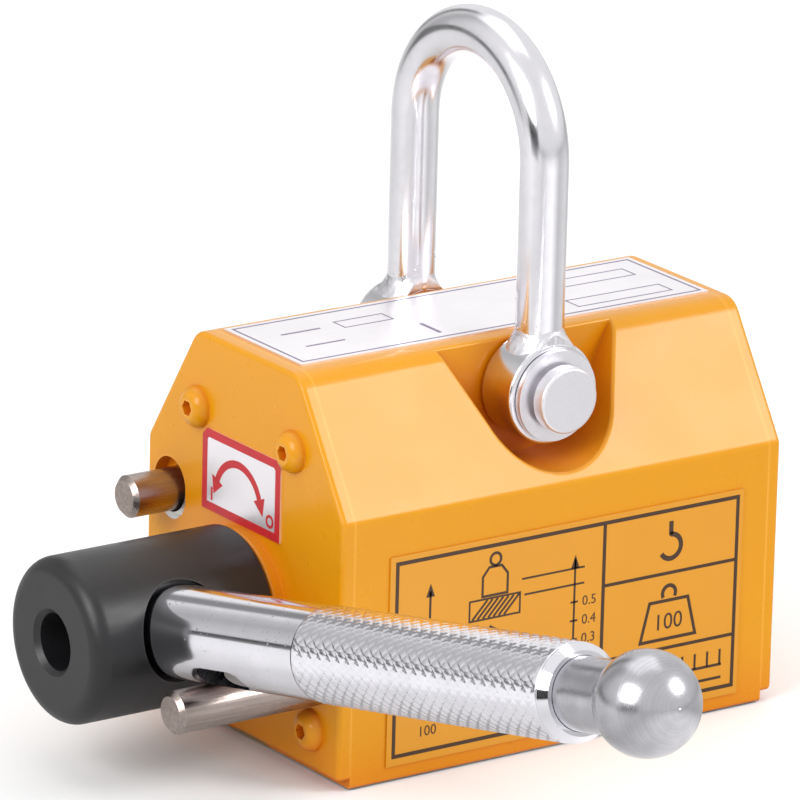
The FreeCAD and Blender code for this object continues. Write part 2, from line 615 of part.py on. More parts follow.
def main():
    os.makedirs("parts", exist_ok=True)
    nodes = {}
    for group in (pole_blocks(), stator_parts(), end_parts(), pins(), rotor_parts(), hub_parts(),
                  lever_parts(), shackle_parts(), shackle_pin_parts(), label_parts()):
        nodes.update(group)
    for name, shape in nodes.items():
        if not shape.isValid():
            raise ValueError(name + " is not a valid shape")
        shape.exportStep("parts/" + name + ".step")
        print("%-22s %2d solid(s) %10.1f mm3" % (name, len(shape.Solids), shape.Volume))
    print("lever angle at rest %.3f degrees, %d nodes" % (LEVER_ANGLE, len(nodes)))


main()
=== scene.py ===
import json
import math

import bmesh
import bpy
import numpy as np
from mathutils import Matrix, Vector


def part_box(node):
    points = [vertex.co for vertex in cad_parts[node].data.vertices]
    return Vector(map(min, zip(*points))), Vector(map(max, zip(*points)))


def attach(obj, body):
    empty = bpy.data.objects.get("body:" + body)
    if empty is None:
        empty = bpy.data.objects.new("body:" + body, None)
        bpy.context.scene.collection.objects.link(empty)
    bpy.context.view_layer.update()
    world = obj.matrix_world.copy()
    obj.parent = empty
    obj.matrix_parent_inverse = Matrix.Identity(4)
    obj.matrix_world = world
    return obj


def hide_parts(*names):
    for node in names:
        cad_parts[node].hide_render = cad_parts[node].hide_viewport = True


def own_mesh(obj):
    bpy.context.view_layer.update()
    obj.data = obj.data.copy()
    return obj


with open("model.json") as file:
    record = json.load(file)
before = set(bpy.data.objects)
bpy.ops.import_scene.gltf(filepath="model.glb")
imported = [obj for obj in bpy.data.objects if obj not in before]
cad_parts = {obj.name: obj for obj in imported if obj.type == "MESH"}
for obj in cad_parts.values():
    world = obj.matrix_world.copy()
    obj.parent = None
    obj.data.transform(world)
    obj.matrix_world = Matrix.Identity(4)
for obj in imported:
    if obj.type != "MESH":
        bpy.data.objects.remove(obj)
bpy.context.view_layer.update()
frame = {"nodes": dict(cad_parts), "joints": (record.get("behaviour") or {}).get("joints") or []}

bl_info = {
    "name": "Lifting Magnet Finish",
    "version": (1, 0, 0),
    "blender": (4, 5, 0),
    "location": "3D View > Sidebar > Lifting Magnet",
    "description": "Finishes, knurling, welds and prints of a hand-operated lifting magnet",
    "category": "Object",
}

# ---- what the frame says ----------------------------------------------------------------
MM = 0.001
JOINTS = {joint["name"]: joint for joint in frame["joints"]}
SHACKLE_AXIS = Vector(JOINTS["shackle_swing"]["pos_m"])
LEVER_DIRECTION = -Vector(JOINTS["knob_press"]["axis"])


def middle(node):
    low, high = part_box(node)
    return (low + high) / 2


def reach_of(name):
    """How near to and how far from the hub axis a part's points lie, measured along the lever."""
    mesh = frame["nodes"][name].data
    points = np.empty(len(mesh.vertices) * 3)
    mesh.vertices.foreach_get("co", points)
    reach = (points.reshape(-1, 3) - np.array(LEVER_START)) @ np.array(LEVER_DIRECTION)
    return float(reach.min()), float(reach.max())


LEVER_START = Vector((middle("lever_tube").x, 0.0, JOINTS["lever_turn"]["pos_m"][2]))
CATCH_MIDDLE = middle("catch_pin")
SHACKLE_BAR_RADIUS = 4.2 * MM
EYE_PROUD = 0.3 * MM        # the eye stands this far outside the leg
SHACKLE_LEG_Y = abs(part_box("shackle_bow")[0].y) - SHACKLE_BAR_RADIUS - EYE_PROUD
BAR_FOOT = 7.0 * MM         # the bar ends this far above the pin's axis, inside the eye
WELD_INSET = 0.04 * MM      # keeps the weld's flat sides off the eye's faces
WELD_BURIED = 0.8 * MM      # the inner rings that close the weld lie this deep in the leg
WELD_COLUMNS = 120
WELD_ROWS = 22
NODES_OF_FINISH = {
    "amber_enamel": ("rear_end_plate", "top_bar", "front_plate_screws", "rear_plate_screws"),
    "amber_enamel_with_foot": ("pole_block_right", "pole_block_left"),
    "amber_enamel_with_chip": ("front_end_plate",),
    "satin_black": ("lever_hub",),
    "polished_chrome": ("lever_tube",),
    "turned_ball": ("ball_knob",),
    "cut_steel": ("lock_tongue", "lock_rod"),
    "sawn_steel": ("off_stop_pin", "catch_pin"),
    "bright_zinc": ("shackle_bow", "shackle_eye_right", "shackle_eye_left"),
    "matt_zinc": ("shackle_pin", "pin_washers"),
    "dark_screw_steel": ("pin_retaining_ring", "hub_screw", "hub_washer", "hub_key", "rotor_cap_screws",
                         "lock_spring"),
    "turned_steel": ("rotor_pole_right", "rotor_pole_left", "rotor_front_journal", "rotor_rear_journal",
                     "spring_seat"),
    "nickel_magnet": ("stator_magnets", "rotor_magnets"),
    "ground_brass": ("bottom_spacer",),
    "sintered_bronze": ("front_bush", "rear_bush"),
    "satin_foil": ("top_nameplate", "turn_label"),
    "amber_film": ("rating_label",),
}


# ---- settings ---------------------------------------------------------------------------
def length(name, description, default):
    return bpy.props.FloatProperty(name=name, description=description, default=default,
                                   min=0.0, precision=5, unit="LENGTH", subtype="DISTANCE")


def colour(name, description, default):
    return bpy.props.FloatVectorProperty(name=name, description=description, default=default,
                                         size=3, min=0.0, max=1.0, subtype="COLOR")


class MagnetSizes(bpy.types.PropertyGroup):
    """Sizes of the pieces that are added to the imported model."""
    knurl_starts: bpy.props.IntProperty(
        name="Knurl Starts", description="Grooves of each hand around the grip", default=24, min=8)
    knurl_pitch: length("Knurl Pitch", "Length of one diamond along the grip", 2.75 * MM)
    knurl_depth: length("Knurl Depth", "Height of the diamonds above the tube", 0.13 * MM)
    grip_start: length("Grip Start", "Start of the knurling, out from the hub axis", 58.0 * MM)
    grip_end: length("Grip End", "End of the knurling, out from the hub axis", 127.4 * MM)
    spring_wire: length("Spring Wire", "Thickness of the spring's wire", 1.0 * MM)
    spring_coil: length("Spring Coil", "Width of the spring from wire middle to wire middle", 8.0 * MM)
    spring_turns: bpy.props.IntProperty(
        name="Spring Turns", description="Turns of the spring", default=8, min=2)
    weld_flare: length("Weld Flare", "How far the weld spreads from the leg over the eye", 2.0 * MM)
    weld_rise: length("Weld Rise", "How far the weld climbs the leg", 3.6 * MM)
    spatter_size: length("Spatter Size", "Largest radius of a weld spatter bead", 0.22 * MM)
    ink_height: length("Ink Height", "How far a print stands above its label", 0.03 * MM)


class MagnetColours(bpy.types.PropertyGroup):
    """Colours of the finishes."""
    paint: colour("Paint", "Amber enamel", (0.64, 0.266, 0.0015))
    hub: colour("Hub", "Black coating of the hub", (0.009, 0.009, 0.0105))
    chrome: colour("Chrome", "Chromed lever", (0.88, 0.87, 0.92))
    zinc: colour("Zinc", "Zinc-plated shackle", (0.90, 0.885, 0.925))
    pin_steel: colour("Pin Steel", "Cut steel of the two stop pins", (0.50, 0.42, 0.385))
    foil: colour("Foil", "Silver label foil", (0.88, 0.85, 0.88))
    brown_ink: colour("Brown Ink", "Print on the side label", (0.045, 0.022, 0.010))
    red_ink: colour("Red Ink", "Print on the turning label", (0.40, 0.012, 0.018))
    grey_ink: colour("Grey Ink", "Print on the nameplate", (0.16, 0.13, 0.20))
    floor: colour("Floor", "Pale floor", (0.90, 0.90, 0.90))


# ---- meshes -----------------------------------------------------------------------------
def finished_object(name, points, faces, smooth):
    """A mesh object in the row frame: doubles merged, faces turned outward."""
    mesh = bpy.data.meshes.new(name)
    mesh.from_pydata(np.asarray(points, float).reshape(-1, 3).tolist(), [],
                     [list(map(int, face)) for face in faces])
    shell = bmesh.new()
    shell.from_mesh(mesh)
    bmesh.ops.remove_doubles(shell, verts=shell.verts, dist=1e-7)
    bmesh.ops.recalc_face_normals(shell, faces=shell.faces)
    shell.to_mesh(mesh)
    shell.free()
    mesh.polygons.foreach_set("use_smooth", [smooth] * len(mesh.polygons))
    mesh.update()
    piece = bpy.data.objects.new(name, mesh)
    bpy.context.scene.collection.objects.link(piece)
    return piece


def grid_faces(rows, columns, wrap_rows=False, wrap_columns=False, first=0):
    """Four-sided faces that join each point of a grid to its next neighbours."""
    index = first + np.arange(rows * columns).reshape(rows, columns)
    if wrap_rows:
        index = np.vstack([index, index[:1]])
    if wrap_columns:
        index = np.hstack([index, index[:, :1]])
    corners = (index[:-1, :-1], index[1:, :-1], index[1:, 1:], index[:-1, 1:])
    return np.stack(corners, axis=-1).reshape(-1, 4)


def round_bar(name, centre, first, second, radius, sides):
    """A circle carried along a path. A point is the path's point plus radius * (cos a * first + sin a *
    second). One more ring at each end shrinks to a point, which closes the bar."""
    centre, first, second = (np.pad(each, ((1, 1), (0, 0)), mode="edge")[:, None]
                             for each in (centre, first, second))
    radii = np.full((len(centre), 1, 1), radius)
    radii[[0, -1]] = 0.0
    around = np.linspace(0, 2 * math.pi, sides, endpoint=False)[None, :, None]
    points = centre + radii * (np.cos(around) * first + np.sin(around) * second)
    return finished_object(name, points, grid_faces(len(centre), sides, wrap_columns=True), smooth=True)


def lever_axes():
    """Along the lever, sideways along the rotor, and square to both."""
    along = np.array(LEVER_DIRECTION)
    side = np.array((1.0, 0.0, 0.0))
    return along, side, np.cross(along, side)


def sawtooth(phase):
    """0 where the phase is whole, 1 halfway between, straight in between."""
    return 1.0 - np.abs(2.0 * (phase - np.floor(phase)) - 1.0)


def smooth_rise(value, low, high):
    """0 below low, 1 above high, and 3t^2 - 2t^3 in between."""
    t = np.clip((value - low) / (high - low), 0.0, 1.0)
    return t * t * (3.0 - 2.0 * t)


# ---- shader helpers ---------------------------------------------------------------------
def node(tree, kind, inputs=None, **settings):
    made = tree.nodes.new(kind)
    for key, value in settings.items():
        setattr(made, key, value)
    for key, value in (inputs or {}).items():
        if isinstance(value, bpy.types.NodeSocket):
            tree.links.new(value, made.inputs[key])
        else:
            made.inputs[key].default_value = value
    return made


def maths(tree, operation, first, second=0.0, clamp=False):
    made = node(tree, "ShaderNodeMath", {0: first, 1: second}, operation=operation, use_clamp=clamp)
    return made.outputs[0]


def plus(tree, first, second, clamp=False):
    return maths(tree, "ADD", first, second, clamp)


def minus(tree, first, second, clamp=False):
    return maths(tree, "SUBTRACT", first, second, clamp)


def times(tree, first, second, clamp=False):
    return maths(tree, "MULTIPLY", first, second, clamp)


def vector_maths(tree, operation, first, second=(0.0, 0.0, 0.0)):
    made = node(tree, "ShaderNodeVectorMath", {0: first, 1: second}, operation=operation)
    return made.outputs["Value" if operation in ("DOT_PRODUCT", "LENGTH") else "Vector"]


def feed(receiver, socket, value):
    """Link a value that changes over the surface to a socket of a shader or a group's output."""
    receiver.id_data.links.new(value, receiver.inputs[socket])


def between(tree, factor, low, high):
    """A number that goes from low to high as the factor goes from 0 to 1."""
    made = node(tree, "ShaderNodeMapRange", {"Value": factor, "To Min": low, "To Max": high})
    return made.outputs["Result"]


def blended(tree, factor, first, second):
    """A colour that goes from the first to the second as the factor goes from 0 to 1."""
    made = node(tree, "ShaderNodeMix", data_type="RGBA")
    for socket, value in ((made.inputs[0], factor), (made.inputs[6], first), (made.inputs[7], second)):
        if isinstance(value, bpy.types.NodeSocket):
            tree.links.new(value, socket)
        elif socket is made.inputs[0]:
            socket.default_value = value
        else:
            socket.default_value = (*value[:3], 1.0)
    return made.outputs[2]


def noise(tree, place, scale, detail=3.0, roughness=0.5):
    made = node(tree, "ShaderNodeTexNoise", {"Vector": place, "Scale": scale, "Detail": detail,
                                             "Roughness": roughness})
    return made.outputs["Fac"]


def object_place(tree):
    return node(tree, "ShaderNodeTexCoord").outputs["Object"]


def surface_direction(tree):
    """The X, Y and Z parts of the way that the surface faces."""
    true = node(tree, "ShaderNodeNewGeometry").outputs["Normal"]
    return node(tree, "ShaderNodeSeparateXYZ", {0: true}).outputs


def shade(rgb, factor):
    return tuple(min(1.0, channel * factor) for channel in rgb)


GROUPS = {}


def new_group(name, inputs, outputs):
    """An empty node group with float inputs and outputs, and its input and output nodes."""
    group = bpy.data.node_groups.new(name, "ShaderNodeTree")
    kind = "NodeSocketFloat"
    for label, default in inputs.items():
        group.interface.new_socket(label, in_out="INPUT", socket_type=kind).default_value = default
    for label in outputs:
        group.interface.new_socket(label, in_out="OUTPUT", socket_type=kind)
    GROUPS[name] = group
    return group, group.nodes.new("NodeGroupInput"), group.nodes.new("NodeGroupOutput")


def make_uneven_tone():
    """Slow variation over a surface: two sizes of noise, spread to the full 0 to 1."""
    group, given, out = new_group("uneven_tone", {"Scale": 40.0, "Contrast": 2.0}, ["Value"])
    place = object_place(group)
    large = noise(group, place, given.outputs["Scale"], 2.0)
    small = noise(group, place, times(group, given.outputs["Scale"], 5.3), 4.0)
    both = plus(group, times(group, large, 0.65), times(group, small, 0.35))
    spread = times(group, minus(group, both, 0.5), given.outputs["Contrast"])
    feed(out, "Value", plus(group, spread, 0.5, clamp=True))


def make_edge_wear_and_highlight():
    """Where an edge is: the rounded normal departs from the true one. Noise breaks the line up."""
    group, given, out = new_group("edge_wear_and_highlight", {"Radius": 0.0006, "Strength": 6.0, "Break Up": 0.5}, ["Mask"])
    rounded = node(group, "ShaderNodeBevel", {"Radius": given.outputs["Radius"]}, samples=4)
    true = node(group, "ShaderNodeNewGeometry").outputs["Normal"]
    facing = vector_maths(group, "DOT_PRODUCT", rounded.outputs[0], true)
    turned = minus(group, 1.0, facing)
    sharp = times(group, turned, given.outputs["Strength"], clamp=True)
    broken = times(group, noise(group, object_place(group), 420.0), given.outputs["Break Up"])
    feed(out, "Mask", minus(group, sharp, broken, clamp=True))


def make_orange_peel():
    """The soft dimples of sprayed enamel, with a finer ripple over them."""
    group, given, out = new_group("orange_peel", {"Scale": 320.0}, ["Height"])
    place = object_place(group)
    dimples = noise(group, place, given.outputs["Scale"], 1.0)
    ripple = noise(group, place, times(group, given.outputs["Scale"], 3.1), 1.0)
    feed(out, "Height", plus(group, dimples, times(group, ripple, 0.25)))


def make_fine_pits():
    """Scattered pinholes in plating: the middles of the cells of a cell pattern."""
    group, given, out = new_group("fine_pits", {"Scale": 900.0, "Size": 0.22}, ["Mask", "Height"])
    cells = node(group, "ShaderNodeTexVoronoi",
                 {"Vector": object_place(group), "Scale": given.outputs["Scale"]})
    inside = minus(group, given.outputs["Size"], cells.outputs["Distance"])
    some = maths(group, "GREATER_THAN", noise(group, object_place(group), 260.0), 0.52)
    mask = times(group, times(group, inside, 6.0, clamp=True), some)
    feed(out, "Mask", mask)
    feed(out, "Height", minus(group, 1.0, mask))


def make_cut_lines():
    """Lines left by a saw, a grinder or a brush: noise squeezed along each axis by its own number."""
    across = {"Across X": 900.0, "Across Y": 900.0, "Across Z": 60.0}
    group, given, out = new_group("cut_lines", across, ["Value"])
    stretch = node(group, "ShaderNodeCombineXYZ",
                   {axis: given.outputs[label] for axis, label in enumerate(across)})
    place = vector_maths(group, "MULTIPLY", object_place(group), stretch.outputs[0])
    lines = noise(group, place, 1.0, 4.0, 0.6)
    spread = times(group, minus(group, lines, 0.5), 2.2)
    feed(out, "Value", plus(group, spread, 0.5, clamp=True))


def make_settled_dust():
    """Dust lies on faces that look up, thicker in patches."""
    group, given, out = new_group("settled_dust", {"Amount": 0.15}, ["Mask"])
    level = maths(group, "POWER", maths(group, "MAXIMUM", surface_direction(group)["Z"], 0.0), 3.0)
    patches = noise(group, object_place(group), 130.0, 5.0, 0.6)
    dust = times(group, times(group, level, patches), given.outputs["Amount"])
    feed(out, "Mask", dust)


def make_painted_corner_shade():
    """How closed in a place is: 1 in a closed-in corner, 0 in the open. The enamel paints shade with it."""
    group, given, out = new_group("painted_corner_shade", {"Distance": 0.014, "Strength": 1.7}, ["Mask"])
    open_share = node(group, "ShaderNodeAmbientOcclusion", {"Distance": given.outputs["Distance"]}, samples=6)
    closed = minus(group, 1.0, open_share.outputs["AO"])
    painted_corner_shade_mask = times(group, minus(group, closed, 0.12), given.outputs["Strength"], clamp=True)
    feed(out, "Mask", painted_corner_shade_mask)


def use(tree, name, **values):
    made = node(tree, "ShaderNodeGroup", node_tree=GROUPS[name])
    for key, value in values.items():
        made.inputs[key.replace("_", " ")].default_value = value
    return made.outputs


def blank_finish(name, **constants):
    """A material with its Principled shader, whose even values are set on the shader itself."""
    finish = bpy.data.materials.new(name)
    finish.use_nodes = True
    shader = finish.node_tree.nodes["Principled BSDF"]
    for key, value in constants.items():
        shader.inputs[key.replace("_", " ")].default_value = value
    return finish, finish.node_tree, shader


def raise_surface(tree, shader, height, distance, strength=1.0):
    bump = node(tree, "ShaderNodeBump", {"Height": height, "Distance": distance, "Strength": strength})
    feed(shader, "Normal", bump.outputs["Normal"])


# ---- finishes ---------------------------------------------------------------------------
def amber_enamel(name, rgb, chipped=False, bare_foot=False):
    """Gloss enamel with painted light: a lighter amber highlight on its edges, which also stands for rubbed
    thin enamel, and a darker amber shade in its corners. It may have a chip under the catch hole or a ground
    foot.
    """
    finish, tree, shader = blank_finish(name, Coat_IOR=1.5, Coat_Roughness=0.09, IOR=1.33)
    coat = 0.20
    tone = use(tree, "uneven_tone", Scale=26.0, Contrast=1.6)["Value"]
    paint = blended(tree, tone, shade(rgb, 0.95), shade(rgb, 1.04))
    edge = use(tree, "edge_wear_and_highlight", Radius=0.7 * MM, Strength=3.0, Break_Up=0.35)["Mask"]
    # Painted highlight: the edges turn a lighter amber, which also stands for thin rubbed enamel.
    paint = blended(tree, times(tree, edge, 0.45), paint, (1.0, 0.60, 0.14))
    # Painted shade: a darker, more orange amber where the place is closed in.
    painted_corner_shade_mask = use(tree, "painted_corner_shade", Distance=16.0 * MM, Strength=1.3)["Mask"]
    paint = blended(tree, painted_corner_shade_mask, paint, (rgb[0], rgb[1] * 0.56, rgb[2] * 0.3))
    dust = use(tree, "settled_dust", Amount=0.06)["Mask"]
    paint = blended(tree, dust, paint, (0.85, 0.72, 0.52))
    rough = between(tree, use(tree, "uneven_tone", Scale=90.0, Contrast=2.0)["Value"], 0.24, 0.36)
    bare = None
    place = node(tree, "ShaderNodeSeparateXYZ", {0: object_place(tree)})
    if bare_foot:
        bare = maths(tree, "LESS_THAN", place.outputs["Z"], 0.25 * MM)
    if chipped:
        side = minus(tree, place.outputs["Y"], CATCH_MIDDLE.y - 0.4 * MM)
        rise = minus(tree, place.outputs["Z"], CATCH_MIDDLE.z - 0.4 * MM)
        away = node(tree, "ShaderNodeCombineXYZ", {0: side, 1: rise})
        reach = vector_maths(tree, "LENGTH", away.outputs[0])
        ragged = times(tree, noise(tree, object_place(tree), 480.0, 4.0), 1.3 * MM)
        bare = maths(tree, "LESS_THAN", plus(tree, reach, ragged), 5.3 * MM)
    if bare is not None:
        lines = use(tree, "cut_lines", Across_X=2200.0, Across_Y=140.0, Across_Z=2200.0)["Value"]
        steel = blended(tree, lines, (0.46, 0.45, 0.43), (0.66, 0.65, 0.62))
        paint = blended(tree, bare, paint, steel)
        rough = plus(tree, rough, times(tree, bare, 0.06))
        feed(shader, "Metallic", bare)
        feed(shader, "Coat Weight", times(tree, minus(tree, 1.0, bare), coat))
    else:
        shader.inputs["Coat Weight"].default_value = coat
    feed(shader, "Base Color", paint)
    feed(shader, "Roughness", rough)
    raise_surface(tree, shader, use(tree, "orange_peel", Scale=300.0)["Height"], 0.05 * MM, 0.55)
    return finish


def satin_black(rgb):
    """Black coating with a fine grain, and paler edges that stand for rubbed wear and a painted highlight."""
    finish, tree, shader = blank_finish("satin_black", IOR=1.5)
    tone = use(tree, "uneven_tone", Scale=120.0, Contrast=2.2)["Value"]
    edge = use(tree, "edge_wear_and_highlight", Radius=0.6 * MM, Strength=3.0, Break_Up=0.7)["Mask"]
    black = blended(tree, tone, shade(rgb, 0.75), shade(rgb, 1.3))
    # Paler grey edges: rubbed coating and a painted highlight.
    black = blended(tree, times(tree, edge, 0.5), black, (0.10, 0.10, 0.105))
    feed(shader, "Base Color", black)
    feed(shader, "Roughness", between(tree, tone, 0.33, 0.46))
    raise_surface(tree, shader, use(tree, "orange_peel", Scale=1500.0)["Height"], 0.02 * MM, 0.6)
    return finish


def plated(name, rgb, smooth, rough, pits=0.20, cloud=60.0, pit_depth=0.03, crumple=0.0):
    """Bright plating: clouded roughness between two values, and scattered pinholes. Welds are crumpled."""
    finish, tree, shader = blank_finish(name, Metallic=1.0)
    tone = use(tree, "uneven_tone", Scale=cloud, Contrast=2.6)["Value"]
    holes = use(tree, "fine_pits", Scale=1000.0, Size=pits)
    plate = blended(tree, tone, rgb, shade(rgb, 0.90))
    plate = blended(tree, times(tree, holes["Mask"], 0.5), plate, shade(rgb, 0.45))
    feed(shader, "Base Color", plate)
    feed(shader, "Roughness", between(tree, tone, smooth, rough))
    if crumple:
        height = use(tree, "orange_peel", Scale=620.0)["Height"]
        raise_surface(tree, shader, height, crumple * MM, 0.8)
    else:
        raise_surface(tree, shader, holes["Height"], pit_depth * MM, 0.5)
    return finish


def lined_metal(name, rgb, across, rough, depth=0.03, dark=0.62, coarse=0.0, rough_ends=False):
    """Bare metal with the lines of its last cut. A sawn piece has pebbled ends, where it faces along X."""
    finish, tree, shader = blank_finish(name, Metallic=1.0)
    lines = use(tree, "cut_lines", Across_X=across[0], Across_Y=across[1], Across_Z=across[2])["Value"]
    tone = use(tree, "uneven_tone", Scale=150.0, Contrast=2.4)["Value"]
    metal = blended(tree, lines, shade(rgb, dark), rgb)
    metal = blended(tree, times(tree, tone, 0.45), metal, shade(rgb, 0.55))
    edge = use(tree, "edge_wear_and_highlight", Radius=0.5 * MM, Strength=3.0, Break_Up=0.4)["Mask"]
    # Lighter edges: rubbed metal and a painted highlight.
    metal = blended(tree, times(tree, edge, 0.6), metal, (0.78, 0.76, 0.73))
    feed(shader, "Base Color", metal)
    worn = between(tree, lines, rough + 0.12, rough)
    height = plus(tree, lines, times(tree, tone, coarse))
    if rough_ends:
        end = maths(tree, "GREATER_THAN", maths(tree, "ABSOLUTE", surface_direction(tree)["X"]), 0.95)
        pebbles = use(tree, "orange_peel", Scale=1500.0)["Height"]
        height = plus(tree, height, times(tree, times(tree, pebbles, end), 5.0))
        worn = plus(tree, worn, times(tree, end, 0.22))
    feed(shader, "Roughness", worn)
    raise_surface(tree, shader, height, depth * MM, 0.7)
    return finish


def turned_ball(name, rgb):
    """Turned and polished steel: fine broken rings round the lever's axis, and soft clouds."""
    finish, tree, shader = blank_finish(name, Metallic=1.0)
    place = object_place(tree)
    along = vector_maths(tree, "DOT_PRODUCT", place, tuple(LEVER_DIRECTION))
    wander = times(tree, noise(tree, place, 90.0, 2.0), 0.35 * MM)
    track = plus(tree, along, wander)
    fine = noise(tree, node(tree, "ShaderNodeCombineXYZ", {0: track}).outputs[0], 3200.0, 4.0, 0.7)
    broken = times(tree, fine, noise(tree, place, 260.0, 3.0))
    lines = times(tree, minus(tree, broken, 0.12), 3.4, clamp=True)
    tone = use(tree, "uneven_tone", Scale=110.0, Contrast=2.4)["Value"]
    metal = blended(tree, lines, shade(rgb, 0.74), rgb)
    feed(shader, "Base Color", blended(tree, times(tree, tone, 0.3), metal, shade(rgb, 0.7)))
    feed(shader, "Roughness", between(tree, lines, 0.30, 0.15))
    raise_surface(tree, shader, lines, 0.02 * MM, 0.6)
    return finish


def satin_foil(rgb):
    """Label foil: a fine brushed silver with soft creases."""
    finish, tree, shader = blank_finish("satin_foil", Metallic=0.75, Coat_Weight=0.35, Coat_Roughness=0.12)
    lines = use(tree, "cut_lines", Across_X=60.0, Across_Y=2600.0, Across_Z=2600.0)["Value"]
    tone = use(tree, "uneven_tone", Scale=45.0, Contrast=2.0)["Value"]
    silver = blended(tree, lines, shade(rgb, 0.93), rgb)
    feed(shader, "Base Color", blended(tree, tone, silver, shade(rgb, 1.08)))
    feed(shader, "Roughness", between(tree, tone, 0.26, 0.40))
    raise_surface(tree, shader, tone, 0.10 * MM, 0.35)
    return finish


def amber_film(rgb):
    """Clear film over the paint: the same amber, a little flatter and smoother, slightly scuffed."""
    finish, tree, shader = blank_finish("amber_film", Coat_Weight=0.25, Coat_Roughness=0.2, IOR=1.5)
    tone = use(tree, "uneven_tone", Scale=30.0, Contrast=1.6)["Value"]
    feed(shader, "Base Color", blended(tree, tone, shade(rgb, 0.95), shade(rgb, 1.03)))
    feed(shader, "Roughness", between(tree, tone, 0.30, 0.42))
    raise_surface(tree, shader, use(tree, "orange_peel", Scale=240.0)["Height"], 0.03 * MM, 0.4)
    return finish


def printed_ink(name, rgb):
    """Screen-printed ink with small thin spots."""
    finish, tree, shader = blank_finish(name, IOR=1.45)
    tone = use(tree, "uneven_tone", Scale=500.0, Contrast=2.0)["Value"]
    feed(shader, "Base Color", blended(tree, tone, rgb, shade(rgb, 1.35)))
    feed(shader, "Roughness", between(tree, tone, 0.35, 0.5))
    return finish


def grey_stops(tree, value, stops):
    """A grey that runs straight between the given stops of the value."""
    ramp = node(tree, "ShaderNodeValToRGB", {0: value})
    elements = ramp.color_ramp.elements
    elements[0].position, elements[1].position = stops[0][0], stops[-1][0]
    for element, (_, grey) in ((elements[0], stops[0]), (elements[1], stops[-1])):
        element.color = (grey, grey, grey, 1.0)
    for position, grey in stops[1:-1]:
        elements.new(position).color = (grey, grey, grey, 1.0)
    return ramp.outputs["Color"]


def compass(tree, vector):
    """The direction of a vector seen from above, from 0 to 1 once round, starting behind -X."""
    parts = node(tree, "ShaderNodeSeparateXYZ", {0: vector})
    turn = maths(tree, "ARCTAN2", parts.outputs["Y"], parts.outputs["X"])
    share = node(tree, "ShaderNodeMapRange", {"Value": turn, "From Min": -math.pi, "From Max": math.pi})
    return share.outputs["Result"]


def painted_reflection_directions(tree, vector):
    """Painted reflection for glossy rays: pale all round, brighter towards the lamps and greyer between them.
    """
    return grey_stops(tree, compass(tree, vector),
                      ((0.0, 0.70), (0.05, 0.60), (0.10, 0.58), (0.14, 0.50), (0.20, 0.78), (0.27, 0.90),
                       (0.35, 0.42), (0.47, 0.62), (0.53, 0.45), (0.66, 0.90), (0.78, 0.62), (1.0, 0.70)))


def pale_floor(rgb):
    """Plain matt floor. To glossy rays it shows a painted reflection instead: greyer in some directions,
    brighter towards the lamps, a little darker right under the body, and dark far out in the two directions
    that the lever and the shackle's bend mirror."""
    finish, tree, shader = blank_finish("pale_floor", Specular_IOR_Level=0.15)
    tone = use(tree, "uneven_tone", Scale=3.0, Contrast=1.0)["Value"]
    plain = blended(tree, tone, shade(rgb, 0.985), rgb)
    place = object_place(tree)
    flat = node(tree, "ShaderNodeSeparateXYZ", {0: place})
    reach = maths(tree, "SQRT", plus(tree, maths(tree, "POWER", flat.outputs["X"], 2.0),
                                      maths(tree, "POWER", flat.outputs["Y"], 2.0)))
    # Painted reflection: these greys show only in glossy rays.
    ring = grey_stops(tree, reach,
                      ((0.0, 0.90), (0.10, 1.0), (0.55, 1.0), (0.80, 0.22), (1.0, 0.22)))
    far = grey_stops(tree, compass(tree, place),
                     ((0.0, 0.15), (0.05, 0.15), (0.09, 0.90), (0.77, 0.90), (0.80, 0.22), (0.90, 0.22),
                      (0.93, 0.90), (0.98, 0.90), (1.0, 0.15)))
    reached = vector_maths(tree, "MAXIMUM", ring, far)
    painted_reflection = vector_maths(tree, "MULTIPLY", reached, painted_reflection_directions(tree, place))
    mirrored = node(tree, "ShaderNodeLightPath").outputs["Is Glossy Ray"]
    feed(shader, "Base Color", blended(tree, mirrored, plain, painted_reflection))
    feed(shader, "Roughness", between(tree, tone, 0.75, 0.85))
    return finish


FINISHES = {}


